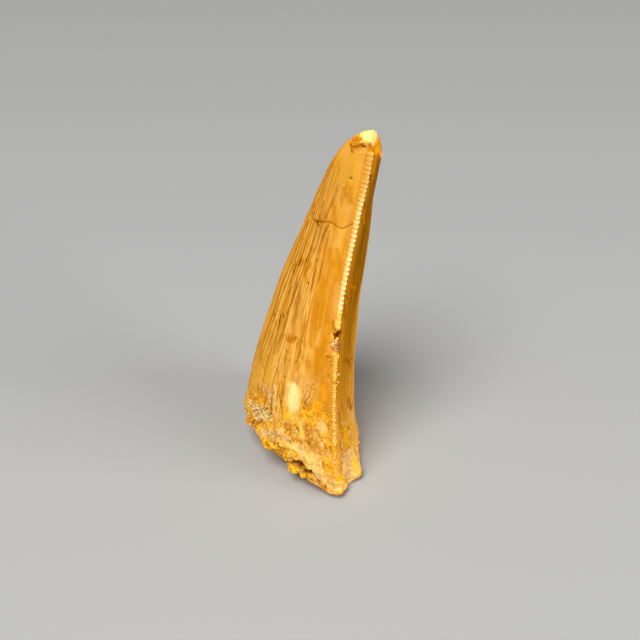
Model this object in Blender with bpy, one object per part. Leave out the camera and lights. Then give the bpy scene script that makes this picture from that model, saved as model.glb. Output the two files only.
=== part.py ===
"""A fossil tooth crown of a carcharodontosaurus, standing on its broken base.

The crown is a curved blade with two saw edges (carinae) of chisel-like denticles. It points up +Z. The distal
edge, on the inside of the curve, faces -Y, and the mesial edge faces +Y. The convex outer (labial) face looks
to -X and the inner (lingual) face to +X. The origin is on the worn flat under the broken base.
"""

import math

import bmesh
import bpy
import numpy as np
from mathutils import Vector, noise

MM = 0.001
LABIAL = -1
LINGUAL = 1

# The crown, by level: 0 is the surface it stands on and 1 is the tip. It sways towards its lingual face.
HEIGHT = 42.1 * MM
TIP_ROUNDS_FROM = 0.89
MESIAL_REACH = 10.8 * MM
MESIAL_FALL = 1.45
MESIAL_ROUNDNESS = 0.74
DISTAL_STATIONS = (0.0, 0.35, 0.7, 1.0)
DISTAL_EDGE = (-9.7 * MM, -9.5 * MM, -8.9 * MM, -11.3 * MM)
SWAY_STATIONS = (0.0, 0.25, 0.5, 0.75, 1.0)
SWAY = (0.28 * MM, -0.28 * MM, 0.21 * MM, 1.75 * MM, 2.45 * MM)
BULGE_STATIONS = (0.0, 0.2, 0.4, 0.6, 0.8, 0.92, 1.0)
LABIAL_BULGE = (6.5 * MM, 5.6 * MM, 3.9 * MM, 2.85 * MM, 2.55 * MM, 2.2 * MM, 1.9 * MM)
LINGUAL_BULGE = (4.7 * MM, 4.55 * MM, 4.3 * MM, 3.85 * MM, 2.45 * MM, 2.05 * MM, 1.8 * MM)
LENS_POWER = 0.9

# The broken rim above the surface it stands on, along each face from the distal to the mesial edge.
RIM_STATIONS = (-1.0, -0.86, -0.72, -0.62, -0.4, -0.18, 0.1, 0.5, 1.0)
LABIAL_RIM = (
    0.7 * MM, 1.4 * MM, 2.3 * MM, 3.1 * MM, 3.6 * MM, 4.3 * MM, 3.0 * MM, 2.2 * MM, 1.2 * MM,
)
LINGUAL_RIM = (
    0.7 * MM, 0.4 * MM, 0.5 * MM, 0.5 * MM, 0.4 * MM, 0.6 * MM, 0.8 * MM, 1.1 * MM, 1.2 * MM,
)
RIM_RAGGEDNESS = 0.45 * MM
RIM_RAG_SIZE = 1.3 * MM

# The broken underside, which is worn flat where it carries the tooth.
FRACTURE_INNER = 0.58
FRACTURE_SLOPE = 1.3
FRACTURE_LUMP = 0.9 * MM
FRACTURE_LUMP_SIZE = 3.2 * MM
REST_FLAT_RADIUS = 3.4 * MM

# Sandy crust that clings to the crown above the rim.
CRUST_REACH = {LABIAL: 4.6 * MM, LINGUAL: 3.6 * MM}
CRUST_THICKNESS = 0.42 * MM
CRUST_GRAINS = ((2.1 * MM, 0.65), (1.0 * MM, 0.45))
CRUST_COVER = 0.3

# Larger crumbs of it: face, place along the face, height and radius.
CRUMBS = (
    (LABIAL, -0.45, 3.9 * MM, 1.15 * MM),
    (LABIAL, -0.60, 3.9 * MM, 1.00 * MM),
    (LABIAL, -0.66, 2.3 * MM, 0.85 * MM),
    (LABIAL, -0.77, 2.2 * MM, 0.75 * MM),
    (LABIAL, -0.05, 4.6 * MM, 1.30 * MM),
    (LABIAL, 0.55, 2.9 * MM, 1.10 * MM),
    (LINGUAL, -0.60, 1.5 * MM, 1.60 * MM),
    (LINGUAL, -0.52, 3.4 * MM, 1.30 * MM),
    (LINGUAL, 0.20, 1.9 * MM, 1.30 * MM),
    (LINGUAL, 0.70, 2.0 * MM, 1.10 * MM),
)
CRUMB_SINK = 0.72
CRUMB_ROUGHNESS = 0.5
CRUMB_FLATNESS = 0.8
LUMPS_STAY_ABOVE = 0.05 * MM

# Hollows between the crumbs, which show the dark inside of the break.
HOLLOWS = (
    (LABIAL, -0.72, 3.5 * MM, 0.55 * MM),
    (LABIAL, -0.81, 3.0 * MM, 0.45 * MM),
)

# Flat spalls where the tip broke off: a point on each and the way it faces.
TIP_SPALLS = (
    (Vector((2.45, -10.85, 41.05)) * MM, Vector((0.05, -0.70, 0.71))),
    (Vector((3.15, -10.15, 39.95)) * MM, Vector((0.80, -0.52, 0.06))),
    (Vector((1.20, -10.0, 41.15)) * MM, Vector((-0.50, -0.2, 0.84))),
)

# Denticles along the two saw edges. They are smaller and more worn towards the base.
DENTICLE_PITCH = 0.5 * MM
DENTICLE_PITCH_AT_BASE = 0.38 * MM
DENTICLE_SHRINK_BELOW = 17.5 * MM
DENTICLE_HEIGHT = 0.36 * MM
DENTICLE_GAP_HEIGHT = 0.04 * MM
DENTICLE_ROOT = 0.55 * MM
DENTICLE_WIDTH = 0.64 * MM
DENTICLE_TOP_WIDTH = 0.46 * MM
DENTICLE_TOP = (0.22, 0.78)
DENTICLE_WORN = 0.45
SAW_LOWEST = 7.2 * MM
DISTAL_SAW_TOP = 39.6 * MM
MESIAL_SAW_TOP = 38.2 * MM
SAW_STEPS = 240
CHIPPED_FROM = 18.6 * MM
CHIPPED_TO = 20.9 * MM

# The chip out of the distal edge.
CHIP_CENTRE = Vector((0.3, -9.35, 20.0)) * MM
CHIP_HALF_SIZE = Vector((0.75, 0.8, 1.0)) * MM
HOLLOW_ROUGHNESS = 0.25

# How finely the faceted body is made.
CRUST_RINGS = 7
CRUST_RINGS_HEIGHT = 4.9 * MM
CROWN_RINGS = 34
STEPS_PER_FACE = 22
FRACTURE_RINGS = 7
TIP_CROWDING = 1.5


def eased(place, stations, values):
    """A smooth curve through the values at the stations, read at a place."""
    slopes = np.gradient(np.array(values), np.array(stations))
    upper = min(max(int(np.searchsorted(stations, place)), 1), len(stations) - 1)
    lower = upper - 1
    span = stations[upper] - stations[lower]
    u = (place - stations[lower]) / span
    start = (1 + 2 * u) * (1 - u) ** 2 * values[lower] + u * (1 - u) ** 2 * span * slopes[lower]
    end = u * u * (3 - 2 * u) * values[upper] + u * u * (u - 1) * span * slopes[upper]
    return float(start + end)


def distal_y(level):
    return eased(level, DISTAL_STATIONS, DISTAL_EDGE)


def mesial_y(level):
    tip = DISTAL_EDGE[-1]
    return tip + (MESIAL_REACH - tip) * (1 - level**MESIAL_FALL) ** MESIAL_ROUNDNESS


def bulge_at(level, face):
    """How far a face stands out from the blade's middle; it rounds to nothing at the tip."""
    rounding = max(0.0, (level - TIP_ROUNDS_FROM) / (1 - TIP_ROUNDS_FROM))
    widest = eased(level, BULGE_STATIONS, LABIAL_BULGE if face == LABIAL else LINGUAL_BULGE)
    return widest * math.sqrt(max(0.0, 1 - rounding * rounding))


def crown_point(level, along, face):
    """A point of the crown: level is its height, 0 to 1, and along runs from -1, distal, to 1, mesial."""
    low, high = distal_y(level), mesial_y(level)
    out = bulge_at(level, face) * (1 - along * along) ** LENS_POWER
    x = eased(level, SWAY_STATIONS, SWAY) + face * out
    y = (low + high) / 2 + (high - low) / 2 * along
    return Vector((x, y, level * HEIGHT))


def crown_outward(level, along, face):
    """The way that the crown's surface faces at one of its points."""
    step = 0.01
    point = crown_point(level, along, face)
    up = crown_point(min(level + step, 0.99), along, face) - point
    inner = along * (1 - step)
    round_it = crown_point(level, inner + step, face) - crown_point(level, inner - step, face)
    out = round_it.cross(up).normalized() if up.length > 0 else Vector((face, 0.0, 0.0))
    return out * (1 if out.x * face > 0 else -1)


def rim_height(along, face):
    """How high the ragged broken rim stands at this place on a face."""
    smooth = eased(along, RIM_STATIONS, LABIAL_RIM if face == LABIAL else LINGUAL_RIM)
    place = crown_point(smooth / HEIGHT, along, face) / RIM_RAG_SIZE
    return max(smooth + RIM_RAGGEDNESS * noise.noise(place), 0.0)


def crust_on(point, above_rim, face):
    """How thick the crust is at a point of the crown, above the rim."""
    fade = max(0.0, 1 - above_rim / CRUST_REACH[face])
    grain = sum(share * noise.noise(point / size) for size, share in CRUST_GRAINS)
    return CRUST_THICKNESS * math.sqrt(fade) * max(0.0, CRUST_COVER + grain) * 2


def spalled(point):
    """The point, laid onto a spall at the tip if it would stand out past it."""
    for place, way in TIP_SPALLS:
        way = way.normalized()
        past = (point - place).dot(way)
        if past > 0:
            point = point - past * way
    return point


def ring_places():
    """The places round a section, from the distal edge along the labial face and back along the lingual one."""
    turns = [math.sin(-math.pi / 2 + math.pi * k / STEPS_PER_FACE) for k in range(STEPS_PER_FACE + 1)]
    return [(s, LABIAL) for s in turns] + [(s, LINGUAL) for s in reversed(turns[1:-1])]


def fracture_height(point, inward, rim):
    """The height of the broken underside: it falls from the rim to lumps worn flat where they carry the tooth."""
    if math.hypot(point.x, point.y) < REST_FLAT_RADIUS:
        return 0.0
    slope = max(0.0, (inward - FRACTURE_INNER) / (1 - FRACTURE_INNER))
    lump = noise.noise(Vector((point.x, point.y, 0.0)) / FRACTURE_LUMP_SIZE)
    return max(0.0, rim * slope**FRACTURE_SLOPE + FRACTURE_LUMP * lump * (1 - slope))


def ring_heights(rim):
    """The heights of the rings above one place of the rim: close in the crust, then wider, then close at the tip."""
    crust_top = rim + CRUST_RINGS_HEIGHT
    low = [rim + CRUST_RINGS_HEIGHT * k / CRUST_RINGS for k in range(CRUST_RINGS)]
    shares = [1 - (1 - k / CROWN_RINGS) ** TIP_CROWDING for k in range(CROWN_RINGS)]
    return low + [crust_top + (HEIGHT - crust_top) * share for share in shares]


def build_crown():
    """The blade, as rings from the rim to the tip, closed under the base by the fracture surface."""
    places = ring_places()
    mesh = bmesh.new()
    rims = [rim_height(along, face) for along, face in places]
    columns = []
    for (along, face), rim in zip(places, rims):
        column = []
        for height in ring_heights(rim):
            level = height / HEIGHT
            point = crown_point(level, along, face)
            crust = crust_on(point, height - rim, face)
            if crust > 0 and height > rim:
                point = point + crown_outward(level, along, face) * crust
            column.append(mesh.verts.new(spalled(point)))
        columns.append(column)
    loops = [list(loop) for loop in zip(*columns)]
    tip = mesh.verts.new(spalled(crown_point(1.0, 0.0, LABIAL)))

    under = []
    rim_points = [vert.co.copy() for vert in loops[0]]
    for k in range(1, FRACTURE_RINGS):
        inward = 1 - k / FRACTURE_RINGS
        ring = []
        for point, rim in zip(rim_points, rims):
            flat = Vector((point.x * inward, point.y * inward, 0.0))
            flat.z = fracture_height(flat, inward, rim)
            ring.append(mesh.verts.new(flat))
        under.append(ring)
    centre = mesh.verts.new((0.0, 0.0, 0.0))

    count = len(places)
    stack = list(reversed(under)) + loops
    for lower, upper in zip(stack, stack[1:]):
        for k in range(count):
            after = (k + 1) % count
            mesh.faces.new((lower[k], upper[k], upper[after], lower[after]))
    for k in range(count):
        after = (k + 1) % count
        mesh.faces.new((stack[0][after], centre, stack[0][k]))
        mesh.faces.new((stack[-1][k], tip, stack[-1][after]))
    return mesh


def carina_path(edge_y, top):
    """Points up a saw edge, evenly by height."""
    path = []
    for k in range(SAW_STEPS + 1):
        level = (SAW_LOWEST + (top - SAW_LOWEST) * k / SAW_STEPS) / HEIGHT
        path.append(Vector((eased(level, SWAY_STATIONS, SWAY), edge_y(level), level * HEIGHT)))
    return path


def saw_frame(path, lengths, distance, outward):
    """Where a denticle stands on the saw edge, the way it points, and the way across the edge."""

    def at(length):
        return Vector([np.interp(length, lengths, [point[axis] for point in path]) for axis in range(3)])

    tangent = (at(distance + DENTICLE_PITCH) - at(distance - DENTICLE_PITCH)).normalized()
    out = Vector((0.0, outward, 0.0))
    out = (out - out.dot(tangent) * tangent).normalized()
    return at(distance), out, out.cross(tangent)


def comb_profiles(path, lengths, has_chip):
    """The rows of denticles on one edge, each as (distance, rise, width) along it, parted where it is chipped."""
    combs, distance = [[]], 0.0
    while distance < lengths[-1] - DENTICLE_PITCH:
        height = np.interp(distance, lengths, [point.z for point in path])
        low_down = max(0.0, (DENTICLE_SHRINK_BELOW - height) / (DENTICLE_SHRINK_BELOW - SAW_LOWEST))
        pitch = DENTICLE_PITCH_AT_BASE if low_down > 0 else DENTICLE_PITCH
        tall = DENTICLE_HEIGHT * (1 - DENTICLE_WORN * low_down)
        if has_chip and CHIPPED_FROM < height < CHIPPED_TO:
            if combs[-1]:
                combs.append([])
        else:
            narrow = 1 - DENTICLE_WORN * low_down / 2
            combs[-1].append((distance, DENTICLE_GAP_HEIGHT, DENTICLE_WIDTH * narrow))
            for share in DENTICLE_TOP:
                combs[-1].append((distance + share * pitch, tall, DENTICLE_TOP_WIDTH * narrow))
        distance += pitch
    return combs


def build_saw(edge_y, top, outward, has_chip):
    """One carina's denticles as a comb whose root is sunk in the blade."""
    path = carina_path(edge_y, top)
    lengths = np.concatenate([[0.0], np.cumsum([(b - a).length for a, b in zip(path, path[1:])])])
    mesh = bmesh.new()
    for comb in comb_profiles(path, lengths, has_chip):
        rings = []
        for distance, rise, width in comb:
            point, out, across = saw_frame(path, lengths, distance, outward)
            corners = (
                point + out * rise + across * width / 2,
                point + out * rise - across * width / 2,
                point - out * DENTICLE_ROOT - across * DENTICLE_WIDTH / 2,
                point - out * DENTICLE_ROOT + across * DENTICLE_WIDTH / 2,
            )
            rings.append([mesh.verts.new(corner) for corner in corners])
        for lower, upper in zip(rings, rings[1:]):
            for k in range(4):
                after = (k + 1) % 4
                mesh.faces.new((lower[k], lower[after], upper[after], upper[k]))
        mesh.faces.new(reversed(rings[0]))
        mesh.faces.new(rings[-1])
    bmesh.ops.recalc_face_normals(mesh, faces=mesh.faces)
    return mesh


def build_lump(centre, half_size, subdivisions, roughness, seed):
    """A knobbly crumb of crust, or the shape of a hollow."""
    mesh = bmesh.new()
    bmesh.ops.create_icosphere(mesh, subdivisions=subdivisions, radius=1.0)
    for vert in mesh.verts:
        way = vert.co.copy()
        knob = 1 + roughness * noise.noise(way * 1.6 + Vector((seed, 0.0, 0.0)))
        vert.co = centre + Vector((way.x * half_size.x, way.y * half_size.y, way.z * half_size.z)) * knob
        vert.co.z = max(vert.co.z, LUMPS_STAY_ABOVE)
    return mesh


def to_object(name, mesh, material):
    data = bpy.data.meshes.new(name)
    mesh.to_mesh(data)
    mesh.free()
    data.materials.append(material)
    item = bpy.data.objects.new(name, data)
    bpy.context.scene.collection.objects.link(item)
    return item


def join_by(item, name, mesh, operation):
    """Adds a shape to the item or cuts it away, by a helper object that isn't part of the model itself."""
    tool = to_object(name, mesh, item.data.materials[0])
    tool.hide_render = True
    tool.display_type = "WIRE"
    modifier = item.modifiers.new(name, "BOOLEAN")
    modifier.operation = operation
    modifier.solver = "EXACT"
    modifier.object = tool


def amber_enamel():
    material = bpy.data.materials.new("amber_enamel")
    material.use_nodes = True
    shader = material.node_tree.nodes["Principled BSDF"]
    shader.inputs["Base Color"].default_value = (0.72, 0.36, 0.06, 1.0)
    shader.inputs["Roughness"].default_value = 0.38
    shader.inputs["Metallic"].default_value = 0.0
    return material


def build_tooth():
    tooth = to_object("tooth", build_crown(), amber_enamel())
    join_by(tooth, "distal_saw", build_saw(distal_y, DISTAL_SAW_TOP, -1.0, True), "UNION")
    join_by(tooth, "mesial_saw", build_saw(mesial_y, MESIAL_SAW_TOP, 1.0, False), "UNION")
    for k, (face, along, height, radius) in enumerate(CRUMBS):
        level = height / HEIGHT
        centre = crown_point(level, along, face) - crown_outward(level, along, face) * radius * CRUMB_SINK
        size = Vector((radius, radius, radius * CRUMB_FLATNESS))
        join_by(tooth, f"crumb_{k}", build_lump(centre, size, 2, CRUMB_ROUGHNESS, k * 3.1), "UNION")
    for k, (face, along, height, radius) in enumerate(HOLLOWS):
        centre = crown_point(height / HEIGHT, along, face)
        size = Vector((radius * 1.3, radius * 1.5, radius))
        join_by(tooth, f"hollow_{k}", build_lump(centre, size, 1, HOLLOW_ROUGHNESS, k * 5.3), "DIFFERENCE")
    chip = build_lump(CHIP_CENTRE, CHIP_HALF_SIZE, 1, HOLLOW_ROUGHNESS, 9.7)
    join_by(tooth, "edge_chip", chip, "DIFFERENCE")
    tooth.data.shade_smooth()
    tooth.data.set_sharp_from_angle(angle=math.radians(40))
    return tooth


for leftover in list(bpy.data.objects):
    bpy.data.objects.remove(leftover, do_unlink=True)
build_tooth()
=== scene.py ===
import math
import bmesh
import bpy
import numpy as np
from mathutils import Matrix, Vector, noise
from mathutils.bvhtree import BVHTree


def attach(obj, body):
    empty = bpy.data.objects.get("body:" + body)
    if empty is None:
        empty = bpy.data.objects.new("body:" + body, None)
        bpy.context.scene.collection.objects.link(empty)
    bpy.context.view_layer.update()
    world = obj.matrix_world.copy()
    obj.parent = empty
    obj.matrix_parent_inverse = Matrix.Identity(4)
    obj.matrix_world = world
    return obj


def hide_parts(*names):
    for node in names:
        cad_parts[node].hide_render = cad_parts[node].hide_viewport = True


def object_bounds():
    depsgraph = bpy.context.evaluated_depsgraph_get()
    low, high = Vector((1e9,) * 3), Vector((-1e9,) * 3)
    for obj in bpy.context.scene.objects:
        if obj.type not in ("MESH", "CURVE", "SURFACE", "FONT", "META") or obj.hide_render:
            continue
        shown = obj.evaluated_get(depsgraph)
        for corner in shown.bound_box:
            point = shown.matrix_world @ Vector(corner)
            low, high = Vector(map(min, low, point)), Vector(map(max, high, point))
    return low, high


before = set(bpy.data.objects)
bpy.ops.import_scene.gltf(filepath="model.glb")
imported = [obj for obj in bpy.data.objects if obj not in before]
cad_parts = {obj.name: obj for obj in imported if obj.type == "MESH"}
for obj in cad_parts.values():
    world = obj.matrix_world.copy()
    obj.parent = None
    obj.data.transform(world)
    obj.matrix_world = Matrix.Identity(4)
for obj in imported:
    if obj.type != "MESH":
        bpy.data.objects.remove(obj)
cad_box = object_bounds()

MM = 0.001


# ---- Camera -----------------------------------------------------------------------------------------
# A short telephoto view from the saw-edge side, a little towards the convex face, looking down on the
# standing tooth. The picture is square.
CAMERA_AZIMUTH = math.radians(-17.0)
CAMERA_ELEVATION = math.radians(35.0)
CAMERA_DISTANCE = 152.9 * MM
CAMERA_ASIDE = 1.22 * MM
CAMERA_UP = 12.86 * MM
PICTURE_ANGLE = math.radians(25.0)

camera_right = Vector((math.cos(CAMERA_AZIMUTH), math.sin(CAMERA_AZIMUTH), 0.0))
camera_back = Vector((
    math.sin(CAMERA_AZIMUTH) * math.cos(CAMERA_ELEVATION),
    -math.cos(CAMERA_AZIMUTH) * math.cos(CAMERA_ELEVATION),
    math.sin(CAMERA_ELEVATION),
))
camera_top = camera_back.cross(camera_right)
camera_place = camera_right * CAMERA_ASIDE + camera_top * CAMERA_UP + camera_back * CAMERA_DISTANCE
camera_data = bpy.data.cameras.new("camera")
camera_data.angle = PICTURE_ANGLE
camera_data.clip_start = 1 * MM
camera = bpy.data.objects.new("camera", camera_data)
bpy.context.scene.collection.objects.link(camera)
camera_turn = Matrix((camera_right, camera_top, camera_back)).transposed()
camera.matrix_world = Matrix.Translation(camera_place) @ camera_turn.to_4x4()
bpy.context.scene.camera = camera


# ---- Crown: its form --------------------------------------------------------------------------------
# The enamelled blade: one curved, lens-shaped horn of amber-coloured fossil enamel, broken off ragged at the
# base, spalled at the tip and chipped on the saw edge. Everything else is fused to it. Its form follows the
# solid, worked finer. Sizes are in millimetres until the mesh is made.
LABIAL = -1
LINGUAL = 1
HEIGHT = 42.1
TIP_ROUNDS_FROM = 0.89
MESIAL_REACH = 10.8
MESIAL_FALL = 1.45
MESIAL_ROUNDNESS = 0.74
DISTAL_STATIONS = (0.0, 0.35, 0.7, 1.0)
DISTAL_EDGE = (-9.7, -9.5, -8.9, -11.3)
SWAY_STATIONS = (0.0, 0.25, 0.5, 0.75, 1.0)
SWAY = (0.28, -0.28, 0.21, 1.75, 2.45)
BULGE_STATIONS = (0.0, 0.2, 0.4, 0.6, 0.8, 0.92, 1.0)
LABIAL_BULGE = (6.5, 5.6, 3.9, 2.85, 2.55, 2.2, 1.9)
LINGUAL_BULGE = (4.7, 4.55, 4.3, 3.85, 2.45, 2.05, 1.8)
LENS_POWER = 0.9
RIM_STATIONS = (-1.0, -0.86, -0.72, -0.62, -0.4, -0.18, 0.1, 0.5, 1.0)
LABIAL_RIM = (0.7, 1.4, 2.3, 3.1, 3.6, 4.3, 3.0, 2.2, 1.2)
LINGUAL_RIM = (0.7, 0.4, 0.5, 0.5, 0.4, 0.6, 0.8, 1.1, 1.2)
RIM_RAGGEDNESS = 0.45
RIM_RAG_SIZE = 1.3
CRUST_REACH = {LABIAL: 4.6, LINGUAL: 3.6}
CRUST_THICKNESS = 0.42
CRUST_GRAINS = ((2.1, 0.65), (1.0, 0.45))
CRUST_COVER = 0.3
CRUMBLY_STATIONS = (-1.0, -0.88, -0.78, -0.6, -0.3, 0.0, 0.5, 1.0)
LABIAL_CRUMBLY = (0.0, 0.1, 0.8, 1.0, 0.9, 0.9, 1.0, 0.9)
LINGUAL_CRUMBLY = (0.0, 0.1, 0.1, 0.35, 0.7, 1.0, 1.0, 0.9)
SMOOTH_CRUST = 0.45
TIP_SPALLS = (
    ((2.46, -10.91, 41.12), (0.05, -0.70, 0.71)),
    ((3.37, -9.75, 40.46), (0.815, -0.574, 0.059)),
    ((1.20, -10.0, 41.15), (-0.50, -0.2, 0.84)),
)
LABIAL_STEPS = 230
LINGUAL_STEPS = 150
EVEN_AT = 0.35
EVEN_SAMPLES = 4001
SECTION_LENGTH = 23.0
BASE_RINGS = 84
BASE_RINGS_HEIGHT = 9.0
CROWN_RINGS = 156
CROWDED = ((0.65, 0.05, 1.2), (0.97, 0.06, 1.5))
CROWDING_SAMPLES = 2001
FRACTURE_RINGS = 21
FRACTURE_INNER = 0.58
FRACTURE_SLOPE = 1.3
FRACTURE_LUMP = 0.9
FRACTURE_LUMP_SIZE = 3.2
REST_FLAT_RADIUS = 3.4


def eased(place, stations, values):
    """A smooth curve through the values at the stations, read at every place."""
    stations, values = np.asarray(stations), np.asarray(values)
    slopes = np.gradient(values, stations)
    upper = np.clip(np.searchsorted(stations, place), 1, len(stations) - 1)
    lower = upper - 1
    span = stations[upper] - stations[lower]
    u = (place - stations[lower]) / span
    start = (1 + 2 * u) * (1 - u) ** 2 * values[lower] + u * (1 - u) ** 2 * span * slopes[lower]
    return start + u * u * (3 - 2 * u) * values[upper] + u * u * (u - 1) * span * slopes[upper]


def distal_y(level):
    return eased(level, DISTAL_STATIONS, DISTAL_EDGE)


def mesial_y(level):
    tip = DISTAL_EDGE[-1]
    return tip + (MESIAL_REACH - tip) * (1 - level**MESIAL_FALL) ** MESIAL_ROUNDNESS


def by_face(face, labial, lingual):
    return np.where(face == LABIAL, labial, lingual)


def crown_points(level, along, face):
    """Points of the crown: level runs from 0 to 1, the tip, and along from -1, distal, to 1, mesial."""
    rounding = np.clip((level - TIP_ROUNDS_FROM) / (1 - TIP_ROUNDS_FROM), 0, 1)
    labial, lingual = eased(level, BULGE_STATIONS, LABIAL_BULGE), eased(level, BULGE_STATIONS, LINGUAL_BULGE)
    widest = by_face(face, labial, lingual)
    out = widest * np.sqrt(1 - rounding**2) * np.clip(1 - along * along, 0, 1) ** LENS_POWER
    low, high = distal_y(level), mesial_y(level)
    y = (low + high) / 2 + (high - low) / 2 * along
    return np.stack([eased(level, SWAY_STATIONS, SWAY) + face * out, y, level * HEIGHT], axis=-1)


def unit(vectors):
    return vectors / np.maximum(np.linalg.norm(vectors, axis=-1, keepdims=True), 1e-9)


def crown_outward(level, along, face):
    """The ways that the crown's surface faces at its points."""
    step = 0.01
    up = crown_points(np.minimum(level + step, 1 - step), along, face) - crown_points(level, along, face)
    inner = along * (1 - step)
    beside = crown_points(level, inner + step, face) - crown_points(level, inner - step, face)
    out = unit(np.cross(beside, up))
    return out * np.where(out[..., :1] * face[..., None] > 0, 1, -1)


def noise_of(points, size, shift=0.0):
    """Smooth noise from -1 to 1 at every point, with lumps of this size."""
    flat = (points.reshape(-1, 3) / size + shift).tolist()
    return np.array([noise.noise(point) for point in flat]).reshape(points.shape[:-1])


def even_turns(face, steps):
    """Places along one face whose points stand evenly apart round the section."""
    along = np.linspace(-1, 1, EVEN_SAMPLES)
    section = crown_points(np.full_like(along, EVEN_AT), along, np.full_like(along, face))
    lengths = np.concatenate([[0], np.cumsum(np.linalg.norm(np.diff(section, axis=0), axis=1))])
    return np.interp(np.linspace(0, lengths[-1], steps + 1), lengths, along)


labial_turns, lingual_turns = even_turns(LABIAL, LABIAL_STEPS), even_turns(LINGUAL, LINGUAL_STEPS)
along = np.concatenate([labial_turns, lingual_turns[-2:0:-1]])
face = np.concatenate([np.full(LABIAL_STEPS + 1, LABIAL), np.full(LINGUAL_STEPS - 1, LINGUAL)])


def by_station(stations, labial, lingual):
    """A smooth curve round the section, with its own values on each face."""
    return by_face(face, eased(along, stations, labial), eased(along, stations, lingual))


rim = by_station(RIM_STATIONS, LABIAL_RIM, LINGUAL_RIM)
rim = np.maximum(rim + RIM_RAGGEDNESS * noise_of(crown_points(rim / HEIGHT, along, face), RIM_RAG_SIZE), 0.0)
base_top = rim + BASE_RINGS_HEIGHT
low_share = (np.arange(BASE_RINGS) / BASE_RINGS)[:, None]
fine_share = np.linspace(0, 1, CROWDING_SAMPLES)
crowding = 1 + sum(more * np.exp(-(((fine_share - middle) / half) ** 2)) for middle, half, more in CROWDED)
crowding = np.concatenate([[0], np.cumsum(crowding[1:])])
high_share = np.interp(np.arange(CROWN_RINGS) / CROWN_RINGS * crowding[-1], crowding, fine_share)[:, None]
heights = np.concatenate([rim + BASE_RINGS_HEIGHT * low_share, base_top + (HEIGHT - base_top) * high_share])
levels = heights / HEIGHT
all_along = np.broadcast_to(along, heights.shape)
all_face = np.broadcast_to(face, heights.shape)
crown = crown_points(levels, all_along, all_face)

crust_fade = np.clip(1 - (heights - rim) / by_face(face, CRUST_REACH[LABIAL], CRUST_REACH[LINGUAL]), 0, 1)
crusted = crust_fade.max(axis=1) > 0
crust_grain = np.zeros_like(heights)
crust_grain[crusted] = sum(share * noise_of(crown[crusted], size) for size, share in CRUST_GRAINS)
crust = np.sqrt(crust_fade) * np.maximum(0, CRUST_COVER + crust_grain) * 2
crust[0] = 0
crumbly = by_station(CRUMBLY_STATIONS, LABIAL_CRUMBLY, LINGUAL_CRUMBLY)
crust *= SMOOTH_CRUST + (1 - SMOOTH_CRUST) * crumbly
crown = crown + crown_outward(levels, all_along, all_face) * (CRUST_THICKNESS * crust)[..., None]
tip = crown_points(np.array([1.0]), np.array([0.0]), np.array([LABIAL]))

inward = (1 - np.arange(1, FRACTURE_RINGS) / FRACTURE_RINGS)[:, None]
under = crown[0] * inward[..., None] * np.array([1.0, 1.0, 0.0])
slope = np.clip((inward - FRACTURE_INNER) / (1 - FRACTURE_INNER), 0, 1)
sag = rim * slope**FRACTURE_SLOPE + FRACTURE_LUMP * noise_of(under, FRACTURE_LUMP_SIZE) * (1 - slope)
worn = np.hypot(under[..., 0], under[..., 1]) < REST_FLAT_RADIUS
under[..., 2] = np.where(worn, 0, np.maximum(0, sag))

round_count = len(along)
ring_count = FRACTURE_RINGS - 1 + len(crown)
points = np.concatenate([np.concatenate([under[::-1], crown]).reshape(-1, 3), tip, np.zeros((1, 3))])
under_count = (FRACTURE_RINGS - 1) * round_count

# The broken base stands out in rounded knuckles: a centre, half sizes, the way each swells and how far.
SWELLINGS = (
    ((2.7, -6.9, 1.4), (1.5, 1.7, 2.6), (0.62, -0.78, 0.0), 0.95),
    ((-0.95, -8.99, 1.45), (0.5, 0.5, 0.5), (-0.75, -0.66, 0.0), 0.14),
    ((-0.3, -9.61, 1.42), (0.55, 0.5, 0.6), (-0.4, -0.9, 0.0), 0.16),
    ((0.48, -9.79, 1.36), (0.4, 0.5, 0.5), (0.3, -0.9, 0.0), 0.12),
    ((1.29, -8.94, 0.96), (0.5, 0.5, 0.6), (0.7, -0.6, 0.0), 0.18),
    ((-2.4, -7.75, 2.2), (0.36, 0.36, 0.34), (-0.65, -0.75, 0.0), 0.16),
    ((-1.75, -8.42, 1.8), (0.4, 0.4, 0.36), (-0.65, -0.75, 0.0), 0.17),
    ((-0.48, -9.48, 2.41), (0.36, 0.36, 0.36), (-0.5, -0.86, 0.0), 0.13),
    ((0.25, -9.83, 2.3), (0.34, 0.34, 0.34), (0.1, -1.0, 0.0), 0.12),
    ((2.6, -7.8, 1.2), (0.5, 0.5, 0.5), (0.62, -0.78, 0.0), 0.14),
    ((2.9, -7.5, 2.5), (0.45, 0.45, 0.5), (0.62, -0.78, 0.0), 0.12),
)
for centre, half, way, far in SWELLINGS:
    off = np.linalg.norm((points - np.array(centre)) / np.array(half), axis=1)
    points = points + (far * np.clip(1 - off**2, 0, 1) ** 2)[:, None] * unit(np.array(way))

# The chip out of the saw edge, the hollows in the rim and a pit near the tip: a centre, half sizes and the
# way each is scooped.
SCOOPS = (
    ((0.40, -9.35, 19.85), (0.60, 0.90, 0.62), (0.1, 1.0, 0.0)),
    ((0.05, -9.55, 19.0), (0.50, 0.35, 0.55), (0.1, 1.0, 0.0)),
    ((-3.05, -6.95, 3.38), (0.95, 0.85, 0.58), (0.75, 0.6, 0.25)),
    ((-2.34, -7.80, 2.98), (0.62, 0.70, 0.46), (0.7, 0.65, 0.25)),
    ((-1.62, -8.75, 2.02), (0.42, 0.4, 0.26), (0.7, 0.65, 0.25)),
    ((-0.98, -9.2, 1.5), (0.26, 0.3, 0.22), (0.7, 0.65, 0.25)),
    ((1.13, -9.68, 36.8), (0.16, 0.16, 0.2), (0.6, 0.75, 0.0)),
)
SCOOP_ROUGHNESS = 0.5
SCOOP_ROUGHNESS_SIZE = 0.36
SCOOP_REACH = 1.4

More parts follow.
